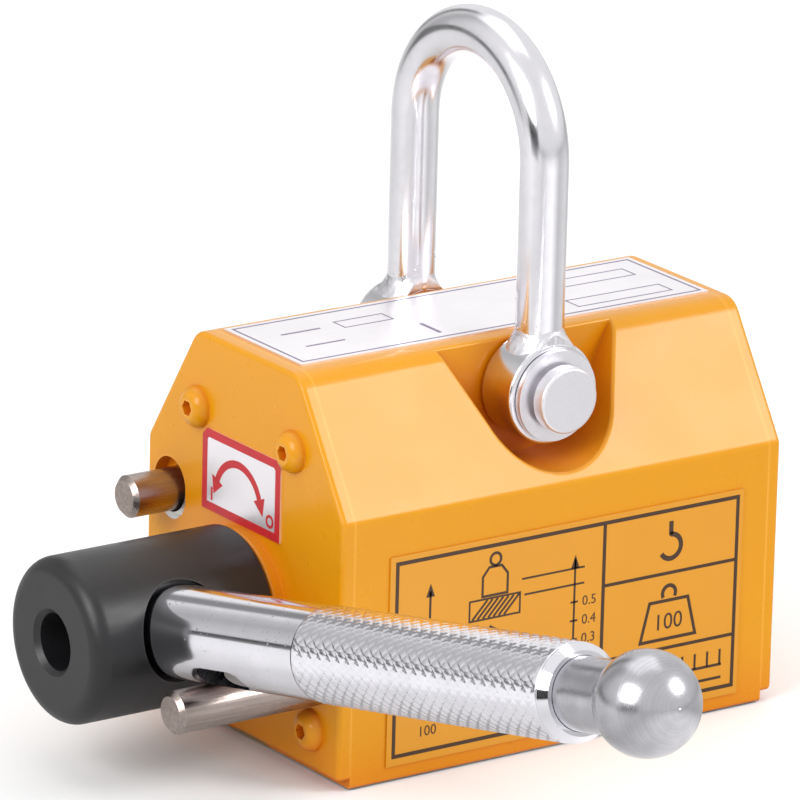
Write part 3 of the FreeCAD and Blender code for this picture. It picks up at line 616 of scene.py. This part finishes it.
def make_finishes(colours):
    for maker in (make_uneven_tone, make_edge_wear_and_highlight, make_orange_peel, make_fine_pits, make_cut_lines,
                  make_settled_dust, make_painted_corner_shade):
        maker()
    paint = tuple(colours.paint)
    steel = tuple(colours.pin_steel)
    chrome = tuple(colours.chrome)
    zinc = tuple(colours.zinc)
    made = [
        amber_enamel("amber_enamel", paint),
        amber_enamel("amber_enamel_with_foot", paint, bare_foot=True),
        amber_enamel("amber_enamel_with_chip", paint, chipped=True),
        satin_black(tuple(colours.hub)),
        plated("polished_chrome", chrome, 0.05, 0.14, pits=0.24, cloud=70.0),
        plated("knurled_chrome", shade(chrome, 1.06), 0.10, 0.20, pits=0.18, cloud=90.0),
        turned_ball("turned_ball", shade(chrome, 0.66)),
        plated("bright_zinc", shade(zinc, 0.91), 0.12, 0.26, pits=0.08, cloud=130.0),
        plated("matt_zinc", shade(zinc, 0.95), 0.30, 0.50, pits=0.06, cloud=420.0),
        plated("weld_zinc", shade(zinc, 0.90), 0.20, 0.42, pits=0.10, cloud=330.0, crumple=0.22),
        lined_metal("sawn_steel", steel, (70.0, 1500.0, 1500.0), 0.24, coarse=0.5, rough_ends=True),
        lined_metal("cut_steel", (0.60, 0.60, 0.60), (700.0, 200.0, 900.0), 0.28),
        lined_metal("turned_steel", (0.50, 0.50, 0.51), (2400.0, 120.0, 120.0), 0.26),
        lined_metal("dark_screw_steel", (0.16, 0.16, 0.17), (900.0, 900.0, 900.0), 0.36),
        lined_metal("nickel_magnet", (0.64, 0.62, 0.58), (300.0, 300.0, 300.0), 0.24),
        lined_metal("ground_brass", (0.74, 0.55, 0.25), (60.0, 2400.0, 2400.0), 0.30),
        lined_metal("sintered_bronze", (0.55, 0.37, 0.19), (1300.0, 1300.0, 1300.0), 0.44, coarse=1.0),
        satin_foil(tuple(colours.foil)),
        amber_film(shade(paint, 0.98)),
        printed_ink("brown_ink", tuple(colours.brown_ink)),
        printed_ink("red_ink", tuple(colours.red_ink)),
        printed_ink("grey_ink", tuple(colours.grey_ink)),
        pale_floor(tuple(colours.floor)),
    ]
    FINISHES.update({finish.name: finish for finish in made})


def give_finish(piece, name):
    if not piece.material_slots:
        piece.data.materials.append(FINISHES[name])
    for held in piece.material_slots:
        held.material = FINISHES[name]


def add_piece(piece, body, finish):
    give_finish(piece, finish)
    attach(piece, body)


# ---- operators --------------------------------------------------------------------------
class MAGNET_OT_finishes(bpy.types.Operator):
    """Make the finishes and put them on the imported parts"""
    bl_idname = "magnet.finishes"
    bl_label = "Finish the Packed Parts"

    def execute(self, context):
        make_finishes(context.scene.magnet_colours)
        finish_of = {name: finish for finish, names in NODES_OF_FINISH.items() for name in names}
        for name, part in frame["nodes"].items():
            if name not in finish_of:
                raise RuntimeError("no finish is named for the part " + name)
            give_finish(part, finish_of[name])
        return {"FINISHED"}


class MAGNET_OT_grip(bpy.types.Operator):
    """Cut the diamond knurl of the lever's grip"""
    bl_idname = "magnet.grip"
    bl_label = "Knurled Grip"

    def execute(self, context):
        """Radius over angle and length. Two families of grooves run round in opposite screws. The phase of
        each is starts * turn plus or minus length / pitch, and the height is the lower of their sawtooths,
        cut off level near the top. It fades out at both ends, and a plain inner ring closes the sleeve."""
        sizes = context.scene.magnet_sizes
        per_diamond = 8
        columns = sizes.knurl_starts * per_diamond
        rows = round((sizes.grip_end - sizes.grip_start) / sizes.knurl_pitch * per_diamond)
        turn = np.arange(columns) / columns
        reach = np.linspace(sizes.grip_start, sizes.grip_end, rows + 1)[:, None]
        right_hand = sawtooth(sizes.knurl_starts * turn + (reach - sizes.grip_start) / sizes.knurl_pitch)
        left_hand = sawtooth(sizes.knurl_starts * turn - (reach - sizes.grip_start) / sizes.knurl_pitch)
        flat_top = 0.25
        height = np.minimum(np.minimum(right_hand, left_hand), flat_top) / flat_top
        fade = 1.2 * MM
        valley = 0.03 * MM
        inset = 0.4 * MM
        ends = smooth_rise(reach, sizes.grip_start, sizes.grip_start + fade)
        ends = ends * (1.0 - smooth_rise(reach, sizes.grip_end - fade, sizes.grip_end))
        tube_radius = (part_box("lever_tube")[1].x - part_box("lever_tube")[0].x) / 2
        radius = tube_radius + valley + sizes.knurl_depth * height * ends
        inner = np.full((1, columns), tube_radius - inset)
        radius = np.vstack([inner, radius, inner])
        reach = np.vstack([reach[:1], reach, reach[-1:]])
        angle = 2 * math.pi * turn
        along, side, over = lever_axes()
        points = (np.array(LEVER_START) + reach[..., None] * along
                  + (radius * np.cos(angle))[..., None] * side
                  + (radius * np.sin(angle))[..., None] * over)
        faces = grid_faces(*radius.shape, wrap_rows=True, wrap_columns=True)
        grip = finished_object("knurled_grip", points, faces, smooth=True)
        add_piece(grip, "lever", "knurled_chrome")
        return {"FINISHED"}


class MAGNET_OT_spring(bpy.types.Operator):
    """Wind the spring that pushes the knob out"""
    bl_idname = "magnet.spring"
    bl_label = "Lock Spring"

    def execute(self, context):
        """A round bar along a screw line about the lever's axis: the line's angle is turns * 2 pi * t and its
        reach grows evenly with t. The bar's circle lies between the outward direction and the one square to
        it and to the line."""
        start, end = reach_of("lock_spring")
        wire = context.scene.magnet_sizes.spring_wire / 2
        coil = context.scene.magnet_sizes.spring_coil / 2
        turns = context.scene.magnet_sizes.spring_turns
        steps = 32 * turns + 1
        share = np.linspace(0, 1, steps)
        angle = 2 * math.pi * turns * share
        along, side, over = lever_axes()
        outward = np.cos(angle)[:, None] * side + np.sin(angle)[:, None] * over
        onward = -np.sin(angle)[:, None] * side + np.cos(angle)[:, None] * over
        rise = end - start - 2 * wire
        line = onward * 2 * math.pi * turns * coil + rise * along
        line /= np.linalg.norm(line, axis=1, keepdims=True)
        square = np.cross(line, outward)
        centre = (np.array(LEVER_START) + (start + wire + rise * share)[:, None] * along + coil * outward)
        spring = round_bar("knob_spring", centre, outward, square, wire, 12)
        add_piece(spring, "lever", "dark_screw_steel")
        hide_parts("lock_spring")
        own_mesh(spring)
        return {"FINISHED"}


class MAGNET_OT_bar(bpy.types.Operator):
    """Bend the round bar of the shackle"""
    bl_idname = "magnet.bar"
    bl_label = "Shackle Bar"

    def execute(self, context):
        """A round bar up one leg, over a half circle and down the other leg, with its ends inside the eyes.
        Its circle lies between the x direction and the path's sideways direction."""
        leg_y = SHACKLE_LEG_Y
        arc_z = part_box("shackle_bow")[1].z - SHACKLE_BAR_RADIUS - leg_y
        foot_z = SHACKLE_AXIS.z + BAR_FOOT
        leg_steps = 29
        arc_steps = 96
        rise = np.linspace(foot_z, arc_z, leg_steps + 1)[:-1]
        bend = np.linspace(math.pi, 0.0, arc_steps + 1)
        leg = np.ones(leg_steps)
        side_y = np.concatenate([-leg, np.cos(bend), leg])
        side_z = np.concatenate([0.0 * leg, np.sin(bend), 0.0 * leg])
        path_y = leg_y * side_y
        path_z = np.concatenate([rise, arc_z + leg_y * np.sin(bend), rise[::-1]])
        zero = np.zeros(len(path_y))
        centre = np.stack([zero + SHACKLE_AXIS.x, path_y, path_z], axis=-1)
        across = np.stack([zero + 1.0, zero, zero], axis=-1)
        sideways = np.stack([zero, side_y, side_z], axis=-1)
        bar = round_bar("shackle_bar", centre, across, sideways, SHACKLE_BAR_RADIUS, 64)
        add_piece(bar, "shackle", "bright_zinc")
        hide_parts("shackle_bow")
        return {"FINISHED"}


class MAGNET_OT_welds(bpy.types.Operator):
    """Flow the welds from the shackle's legs onto its eyes, with their spatter"""
    bl_idname = "magnet.welds"
    bl_label = "Shackle Welds"

    def execute(self, context):
        """The weld's radius about the leg is the leg's own plus flare * (1 - t)^2.4 as t climbs from 0 to 1,
        made uneven by slow sines of the angle, less a small sink that grows as t^2, so the top edge runs
        raggedly into the leg. It stands on the round eye, at sqrt(eye radius^2 - x^2), and
        two plain rings inside the leg close it. Its sides stay within the thickness of the eye."""
        sizes = context.scene.magnet_sizes
        draw = np.random.default_rng(17)
        for name, sign in (("right", -1), ("left", 1)):
            low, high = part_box("shackle_eye_" + name)
            eye_radius = (high.x - low.x) / 2
            furthest = max(abs(low.y), abs(high.y)) - WELD_INSET
            nearest = min(abs(low.y), abs(high.y)) + WELD_INSET
            around = np.linspace(0, 2 * math.pi, WELD_COLUMNS, endpoint=False)[None, :]
            climb = np.linspace(0, 1, WELD_ROWS)[:, None]
            start = draw.uniform(0, 6, 4)
            uneven = (0.16 * np.sin(3 * around + start[0]) + 0.10 * np.sin(7 * around + start[1] + 5 * climb)
                      + 0.05 * np.sin(19 * around + start[2]) * np.sin(9 * climb + start[3]))
            fade = (1 - climb) ** 2.4
            sink = 0.12 * MM * climb ** 2 * (1 + 0.7 * np.sin(5 * around + start[3]))
            radius = SHACKLE_BAR_RADIUS + sizes.weld_flare * fade * (1 + uneven) - sink
            inner = np.full((1, WELD_COLUMNS), SHACKLE_BAR_RADIUS - WELD_BURIED)
            radius = np.vstack([inner, radius, inner])
            lift = np.vstack([np.zeros((1, 1)), climb, np.ones((1, 1))]) * sizes.weld_rise
            x = radius * np.cos(around)
            y = np.clip(SHACKLE_LEG_Y + radius * np.sin(around), nearest, furthest)
            seat = np.sqrt(np.maximum(eye_radius ** 2 - x ** 2, 0.0)) - 0.5 * MM
            z = SHACKLE_AXIS.z + seat + lift * (1 + 0.12 * np.sin(2 * around + start[1]))
            points = np.stack([SHACKLE_AXIS.x + x, sign * y, z], axis=-1)
            weld = finished_object("weld_" + name, points, grid_faces(*radius.shape, True, True), smooth=True)
            add_piece(weld, "shackle", "weld_zinc")
            self.spatter(name, sign, sizes.spatter_size, draw)
        return {"FINISHED"}

    def spatter(self, name, sign, largest, draw):
        """Half-sunk droplets on the leg just above the bead: small spheres over two angles."""
        count = 34
        rows, columns = 7, 9
        heights = SHACKLE_AXIS.z + (10.0 + 6.0 * draw.random(count) ** 1.8) * MM
        turns = draw.uniform(0, 2 * math.pi, count)
        radii = largest * draw.uniform(0.35, 1.0, count)
        polar = np.linspace(0, math.pi, rows)[:, None]
        ring = np.linspace(0, 2 * math.pi, columns)[None, :]
        ball = np.stack([np.sin(polar) * np.cos(ring), np.sin(polar) * np.sin(ring),
                         np.cos(polar) * np.ones_like(ring)], axis=-1)
        sunk = SHACKLE_BAR_RADIUS - 0.25 * radii
        centres = np.stack([SHACKLE_AXIS.x + sunk * np.cos(turns),
                            sign * SHACKLE_LEG_Y + sunk * np.sin(turns), heights], axis=-1)
        points = centres[:, None, None, :] + radii[:, None, None, None] * ball[None]
        faces = np.concatenate([grid_faces(rows, columns, first=rows * columns * i) for i in range(count)])
        drops = finished_object("weld_spatter_" + name, points, faces, smooth=True)
        add_piece(drops, "shackle", "matt_zinc")


# ---- prints -----------------------------------------------------------------------------
def band(points, width, closed=False):
    """A flat band of even width along a line: each point moves sideways along its mitre, which is the sum
    of the two neighbouring sideways directions over one plus the cosine of the bend."""
    line = np.asarray(points, float)
    steps = np.roll(line, -1, axis=0) - line
    steps /= np.maximum(np.linalg.norm(steps, axis=1, keepdims=True), 1e-12)
    after = steps.copy()
    before = np.roll(steps, 1, axis=0)
    if not closed:
        after[-1] = steps[-2]
        before[0] = steps[0]
    cosine = (before * after).sum(axis=1, keepdims=True)
    both = before + after
    mitre = np.stack([-both[:, 1], both[:, 0]], axis=1) / (1.0 + cosine)
    left = line + mitre * width / 2
    right = line - mitre * width / 2
    flat = np.stack([left, left, right, right], axis=1).reshape(-1, 2)
    level = np.tile([0.0, 1.0, 1.0, 0.0], len(line))
    faces = grid_faces(len(line), 4, wrap_rows=closed, wrap_columns=True).tolist()
    if not closed:
        last = 4 * (len(line) - 1)
        faces += [[0, 1, 2, 3], [last + 3, last + 2, last + 1, last]]
    return flat, level, faces


def patch(outline):
    """A filled flat shape from its outline."""
    corners = np.asarray(outline, float)
    count = len(corners)
    flat = np.vstack([corners, corners])
    level = np.repeat([0.0, 1.0], count)
    faces = [list(range(count))[::-1], list(range(count, 2 * count))]
    faces += [[i, (i + 1) % count, count + (i + 1) % count, count + i] for i in range(count)]
    return flat, level, faces


def frame_line(x0, x1, y0, y1, width):
    return band([(x0, y0), (x1, y0), (x1, y1), (x0, y1)], width, closed=True)


def arc_points(centre, radius, start, end, count=40):
    angle = np.radians(np.linspace(start, end, count))
    return np.stack([centre[0] + radius * np.cos(angle), centre[1] + radius * np.sin(angle)], axis=1)


def number(text, x, y, size):
    """Digits as a flat filled shape, standing on y with their middle at x."""
    curve = bpy.data.curves.new("digits", "FONT")
    curve.body = text
    curve.size = size
    curve.align_x = "CENTER"
    curve.extrude = 0.5
    curve.resolution_u = 4
    holder = bpy.data.objects.new("digits", curve)
    mesh = bpy.data.meshes.new_from_object(holder)
    points = np.empty(len(mesh.vertices) * 3)
    mesh.vertices.foreach_get("co", points)
    points = points.reshape(-1, 3)
    faces = [list(face.vertices) for face in mesh.polygons]
    bpy.data.objects.remove(holder)
    bpy.data.meshes.remove(mesh)
    return points[:, :2] + (x, y), points[:, 2] + 0.5, faces


def print_piece(name, marks, corner, right, up, out, thickness, finish):
    """All marks of one label in one mesh. A mark's flat millimetres go along right and up from the corner,
    and its level goes from just under the label's face to the ink's height."""
    points = []
    faces = []
    first = 0
    sunk = 0.01 * MM
    for flat, level, own_faces in marks:
        height = -sunk + level * (thickness + sunk)
        points.append(np.array(corner) + MM * flat[:, :1] * np.array(right) + MM * flat[:, 1:] * np.array(up)
                      + height[:, None] * np.array(out))
        faces += [[first + i for i in face] for face in own_faces]
        first += len(flat)
    piece = finished_object(name, np.vstack(points), faces, smooth=False)
    add_piece(piece, "magnet_body", finish)


class MAGNET_OT_side_print(bpy.types.Operator):
    """Print the frames, the lifting chart and the plain signs of the side label"""
    bl_idname = "magnet.side_print"
    bl_label = "Side Label Print"

    def execute(self, context):
        """Flat millimetres are the row's x and z."""
        marks = [
            frame_line(-34.9, 36.8, 4.5, 39.0, 0.7),
            band([(8.3, 4.8), (8.3, 38.7)], 0.7),
            band([(8.6, 27.6), (36.5, 27.6)], 0.6),
            band([(8.6, 13.9), (36.5, 13.9)], 0.6),
            band([(19.9, 4.8), (19.9, 13.6)], 0.6),
        ]
        marks += self.lifter() + self.chart() + self.signs()
        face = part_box("rating_label")[0].y
        print_piece("rating_print", marks, (0, face, 0), (1, 0, 0), (0, 0, 1), (0, -1, 0),
                    context.scene.magnet_sizes.ink_height, "brown_ink")
        return {"FINISHED"}

    def lifter(self):
        """Small lifter over a hatched load, with the two lines that mark the gap between them."""
        middle_x = -14.6
        body = [(-2.6, 30.1), (2.6, 30.1), (2.6, 33.6), (1.3, 35.2), (-1.3, 35.2), (-2.6, 33.6)]
        marks = [band([(middle_x + x, z) for x, z in body], 0.45, closed=True),
                 band(arc_points((middle_x, 36.5), 1.1, 0, 360, 24)[:-1], 0.5, closed=True),
                 frame_line(-19.8, -9.3, 26.0, 29.6, 0.35)]
        hatches = np.arange(-19.2, -12.2, 1.1)
        marks += [band([(x, 26.2), (x + 3.1, 29.4)], 0.42) for x in hatches]
        marks += [band([(-9.0, 31.9), (4.2, 31.9)], 0.35), band([(-8.4, 29.0), (4.2, 29.0)], 0.35),
                  band([(-15.5, 24.6), (-12.2, 22.6)], 0.4)]
        return marks

    def chart(self):
        """Gap scale on the right, thickness scale on the left, and the corner of the lifting curve."""
        marks = [band([(2.2, 16.5), (2.2, 33.6)], 0.4), band([(-28.0, 12.0), (-28.0, 33.0)], 0.45),
                 band([(-30.4, 12.0), (-4.0, 12.0)], 0.45)]
        marks += [patch([(1.3, 31.9), (3.1, 31.9), (2.2, 34.3)]),
                  patch([(-28.9, 32.0), (-27.1, 32.0), (-28.0, 34.4)]),
                  patch([(-30.0, 12.4), (-26.0, 12.4), (-26.0, 14.6), (-30.0, 14.6)])]
        marks += [band([(1.4, z), (3.0, z)], 0.35) for z in (19.0, 22.4, 25.8)]
        marks += [band([(-28.0, z), (-26.4, z)], 0.35) for z in (18.0, 22.0, 26.0)]
        curve_x = np.linspace(-25.5, -5.0, 30)
        marks.append(band(np.stack([curve_x, 13.4 + 9.0 * np.exp(-(curve_x + 25.5) / 6.5)], axis=1), 0.45))
        marks += [number(text, 5.4, z, 2.5) for text, z in (("0.5", 24.9), ("0.4", 21.5), ("0.3", 18.1))]
        marks += [number(text, x, 7.2, 2.6) for text, x in (("100", -28.0), ("75", -19.6), ("50", -11.5))]
        return marks

    def signs(self):
        """A hook above, a hanging weight with its number, and a thermometer and a gauge below."""
        hook = np.vstack([[(22.5, 37.0), (22.5, 34.6)], arc_points((22.5, 32.4), 2.2, 90, -150, 30)])
        weight = [(16.6, 15.6), (28.4, 15.6), (26.6, 22.6), (18.4, 22.6)]
        marks = [band(hook, 0.9), band(weight, 0.6, closed=True),
                 band(arc_points((22.5, 23.9), 1.4, -30, 210, 24), 0.7), number("100", 22.5, 17.4, 4.2),
                 band(arc_points((14.2, 7.6), 1.3, 120, 420, 30), 0.5),
                 band([(13.6, 8.6), (13.6, 12.6), (14.8, 12.6), (14.8, 8.6)], 0.4),
                 band([(22.6, 6.4), (34.4, 6.4)], 0.5), band([(22.6, 8.8), (34.4, 8.8)], 0.5)]
        marks += [band([(x, 8.8), (x, 11.6)], 0.45) for x in np.arange(23.2, 34.2, 2.7)]
        return marks


class MAGNET_OT_turn_print(bpy.types.Operator):
    """Print the red border, the two-way arrow and the on and off signs of the turning label"""
    bl_idname = "magnet.turn_print"
    bl_label = "Turning Label Print"

    def execute(self, context):
        """Flat millimetres are minus the row's y and its z, so that it reads from the front."""
        low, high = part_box("turn_label")
        left, right = -high.y / MM, -low.y / MM
        bottom, top = low.z / MM, high.z / MM
        half = 0.75
        corner = 1.6
        border = [(left + half, bottom + half), (right - half, bottom + half), (right - half, top - corner),
                  (right - corner, top - half), (left + corner, top - half), (left + half, top - corner)]
        centre = (-1.3, 42.6)
        reach = 6.9
        ends = (158, 22)
        marks = [band(border, 2 * half, closed=True), band(arc_points(centre, reach, *ends, 48), 1.35)]
        for angle, turn in zip(ends, (1, -1)):
            base = arc_points(centre, reach, angle, angle, 1)[0]
            outward = (base - centre) / reach
            onward = turn * np.array((-outward[1], outward[0]))
            marks.append(patch([base + 1.75 * outward, base - 1.75 * outward, base + 3.0 * onward]))
        marks.append(band([(-9.4, 41.1), (-9.4, 43.4)], 0.55))
        marks.append(band(arc_points((8.4, 42.2), 0.95, 0, 360, 24)[:-1], 0.5, closed=True))
        print_piece("turn_print", marks, (low.x, 0, 0), (0, -1, 0), (0, 0, 1), (-1, 0, 0),
                    context.scene.magnet_sizes.ink_height, "red_ink")
        return {"FINISHED"}


class MAGNET_OT_nameplate_print(bpy.types.Operator):
    """Print the border and the plain fields of the nameplate on top"""
    bl_idname = "magnet.nameplate_print"
    bl_label = "Nameplate Print"

    def execute(self, context):
        """Flat millimetres are the row's x and y."""
        low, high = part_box("top_nameplate")
        x0, x1, y0, y1 = low.x / MM, high.x / MM, low.y / MM, high.y / MM
        marks = [frame_line(x0 + 1.1, x1 - 1.1, y0 + 1.1, y1 - 1.1, 0.4),
                 frame_line(-24.0, -14.0, 2.6, 6.2, 0.28), frame_line(18.0, 38.0, -7.6, -3.6, 0.28),
                 frame_line(18.0, 38.0, 3.2, 7.2, 0.28)]
        marks += [band([(-36.0, y), (-28.0, y)], 0.5) for y in (4.4, -3.2)]
        marks += [band([(x, -2.0), (x, -8.0)], 0.7) for x in (-11.5, 13.0)]
        print_piece("nameplate_print", marks, (0, 0, high.z), (1, 0, 0), (0, 1, 0), (0, 0, 1),
                    context.scene.magnet_sizes.ink_height, "grey_ink")
        return {"FINISHED"}


# ---- stage ------------------------------------------------------------------------------
CAMERA_AZIMUTH = -35.655
CAMERA_ELEVATION = 18.243
CAMERA_ROLL = -1.604
CAMERA_DISTANCE = 1.38986
CAMERA_LENS = 360.0
LOOK_AT = Vector((0.0, 0.0, 0.035))
CAMERA_AIM = (0.4529, 0.7531)     # degrees to the left of the body and above it


def aim_camera():
    """The camera looks past the middle of the body, so that the body sits right of and below the centre."""
    azimuth = math.radians(CAMERA_AZIMUTH)
    elevation = math.radians(CAMERA_ELEVATION)
    roll = math.radians(CAMERA_ROLL)
    back = Vector((math.sin(azimuth) * math.cos(elevation), -math.cos(azimuth) * math.cos(elevation),
                   math.sin(elevation)))
    level = Vector((0, 0, 1)).cross(back).normalized()
    upright = back.cross(level)
    right = math.cos(roll) * level - math.sin(roll) * upright
    up = math.sin(roll) * level + math.cos(roll) * upright
    straight = Matrix((right, up, back)).transposed()
    aside, over = (math.radians(angle) for angle in CAMERA_AIM)
    seen = Vector((math.tan(aside), -math.tan(over), -1.0)).normalized()
    turned = straight @ seen.rotation_difference(Vector((0, 0, -1))).to_matrix()
    data = bpy.data.cameras.new("camera")
    data.lens = CAMERA_LENS
    data.sensor_width = 36.0
    camera = bpy.data.objects.new("camera", data)
    camera.matrix_world = Matrix.Translation(LOOK_AT + CAMERA_DISTANCE * back) @ turned.to_4x4()
    bpy.context.scene.collection.objects.link(camera)
    bpy.context.scene.camera = camera


def soft_light(name, place, size, watts):
    data = bpy.data.lights.new(name, "AREA")
    data.shape = "RECTANGLE"
    data.size, data.size_y = size
    data.energy = watts
    lamp = bpy.data.objects.new(name, data)
    lamp.location = place
    lamp.rotation_euler = (LOOK_AT - Vector(place)).to_track_quat("-Z", "Y").to_euler()
    bpy.context.scene.collection.objects.link(lamp)


class MAGNET_OT_stage(bpy.types.Operator):
    """Set the pale floor, the soft lights and the camera"""
    bl_idname = "magnet.stage"
    bl_label = "Stage"

    def execute(self, context):
        half = 6.0
        drop = 0.2 * MM
        across = np.linspace(-half, half, 9)
        grid = np.stack(np.meshgrid(across, across, indexing="ij") + [np.full((9, 9), -drop)], axis=-1)
        floor = finished_object("floor", grid, grid_faces(9, 9), smooth=False)
        if floor.data.polygons[0].normal.z < 0:
            floor.data.flip_normals()
        give_finish(floor, "pale_floor")
        soft_light("key_light", (-1.25, -0.30, 0.80), (0.8, 0.8), 13.5)
        soft_light("side_light", (0.80, -0.90, 0.85), (0.55, 0.45), 7.4)
        soft_light("top_light", (0.1, 0.4, 1.4), (1.2, 1.2), 3.0)
        aim_camera()
        self.sky(context)
        context.scene.view_settings.view_transform = "Standard"
        return {"FINISHED"}

    def sky(self, context):
        """White room for the plated parts to mirror. It is dark along the horizon in two directions, and has
        a dark strip standing near each, greyer beside the second."""
        world = bpy.data.worlds.new("room")
        world.use_nodes = True
        context.scene.world = world
        tree = world.node_tree
        vector = node(tree, "ShaderNodeTexCoord").outputs["Generated"]
        direction = node(tree, "ShaderNodeSeparateXYZ", {0: vector})
        height = between(tree, direction.outputs["Z"], 0.0, 1.0)
        rising = grey_stops(tree, height, ((0.0, 0.0), (0.025, 0.03), (0.055, 0.95), (0.5, 1.0), (1.0, 1.0)))
        horizon = grey_stops(tree, compass(tree, vector),
                             ((0.0, 0.08), (0.06, 0.08), (0.09, 0.85), (0.77, 0.85), (0.80, 0.12),
                              (0.90, 0.12), (0.93, 0.85), (0.98, 0.85), (1.0, 0.08)))
        stands = grey_stops(tree, compass(tree, vector),
                            ((0.0, 0.06), (0.078, 0.06), (0.098, 1.0), (0.705, 1.0), (0.720, 0.30),
                             (0.742, 0.30), (0.752, 0.90), (0.775, 0.62), (0.80, 0.50), (0.83, 0.70),
                             (0.87, 1.0), (0.985, 1.0), (1.0, 0.08)))
        above = grey_stops(tree, height, ((0.0, 0.0), (0.60, 0.0), (0.80, 1.0), (1.0, 1.0)))
        open_sky = vector_maths(tree, "MAXIMUM", stands, above)
        lowest = vector_maths(tree, "MAXIMUM", rising, horizon)
        room = vector_maths(tree, "MULTIPLY", lowest, open_sky)
        background = tree.nodes["Background"]
        tree.links.new(room, background.inputs["Color"])
        background.inputs["Strength"].default_value = 0.95


class MAGNET_PT_panel(bpy.types.Panel):
    """Lists the sizes, the colours and the steps"""
    bl_idname = "MAGNET_PT_panel"
    bl_label = "Lifting Magnet"
    bl_space_type = "VIEW_3D"
    bl_region_type = "UI"
    bl_category = "Lifting Magnet"

    def draw(self, context):
        for group in (context.scene.magnet_sizes, context.scene.magnet_colours):
            box = self.layout.box()
            for key in group.__annotations__:
                box.prop(group, key)
        for step in STEPS:
            self.layout.operator(step.bl_idname)


STEPS = (MAGNET_OT_finishes, MAGNET_OT_grip, MAGNET_OT_spring, MAGNET_OT_bar, MAGNET_OT_welds,
         MAGNET_OT_side_print, MAGNET_OT_turn_print, MAGNET_OT_nameplate_print, MAGNET_OT_stage)
CLASSES = (MagnetSizes, MagnetColours) + STEPS + (MAGNET_PT_panel,)


def register():
    for each in CLASSES:
        bpy.utils.register_class(each)
    bpy.types.Scene.magnet_sizes = bpy.props.PointerProperty(type=MagnetSizes)
    bpy.types.Scene.magnet_colours = bpy.props.PointerProperty(type=MagnetColours)


def unregister():
    del bpy.types.Scene.magnet_colours
    del bpy.types.Scene.magnet_sizes
    for each in reversed(CLASSES):
        bpy.utils.unregister_class(each)


def main():
    register()
    bpy.ops.magnet.finishes()
    bpy.ops.magnet.grip()
    bpy.ops.magnet.spring()
    bpy.ops.magnet.bar()
    bpy.ops.magnet.welds()
    bpy.ops.magnet.side_print()
    bpy.ops.magnet.turn_print()
    bpy.ops.magnet.nameplate_print()
    bpy.ops.magnet.stage()


if __name__ == "__main__":
    main()
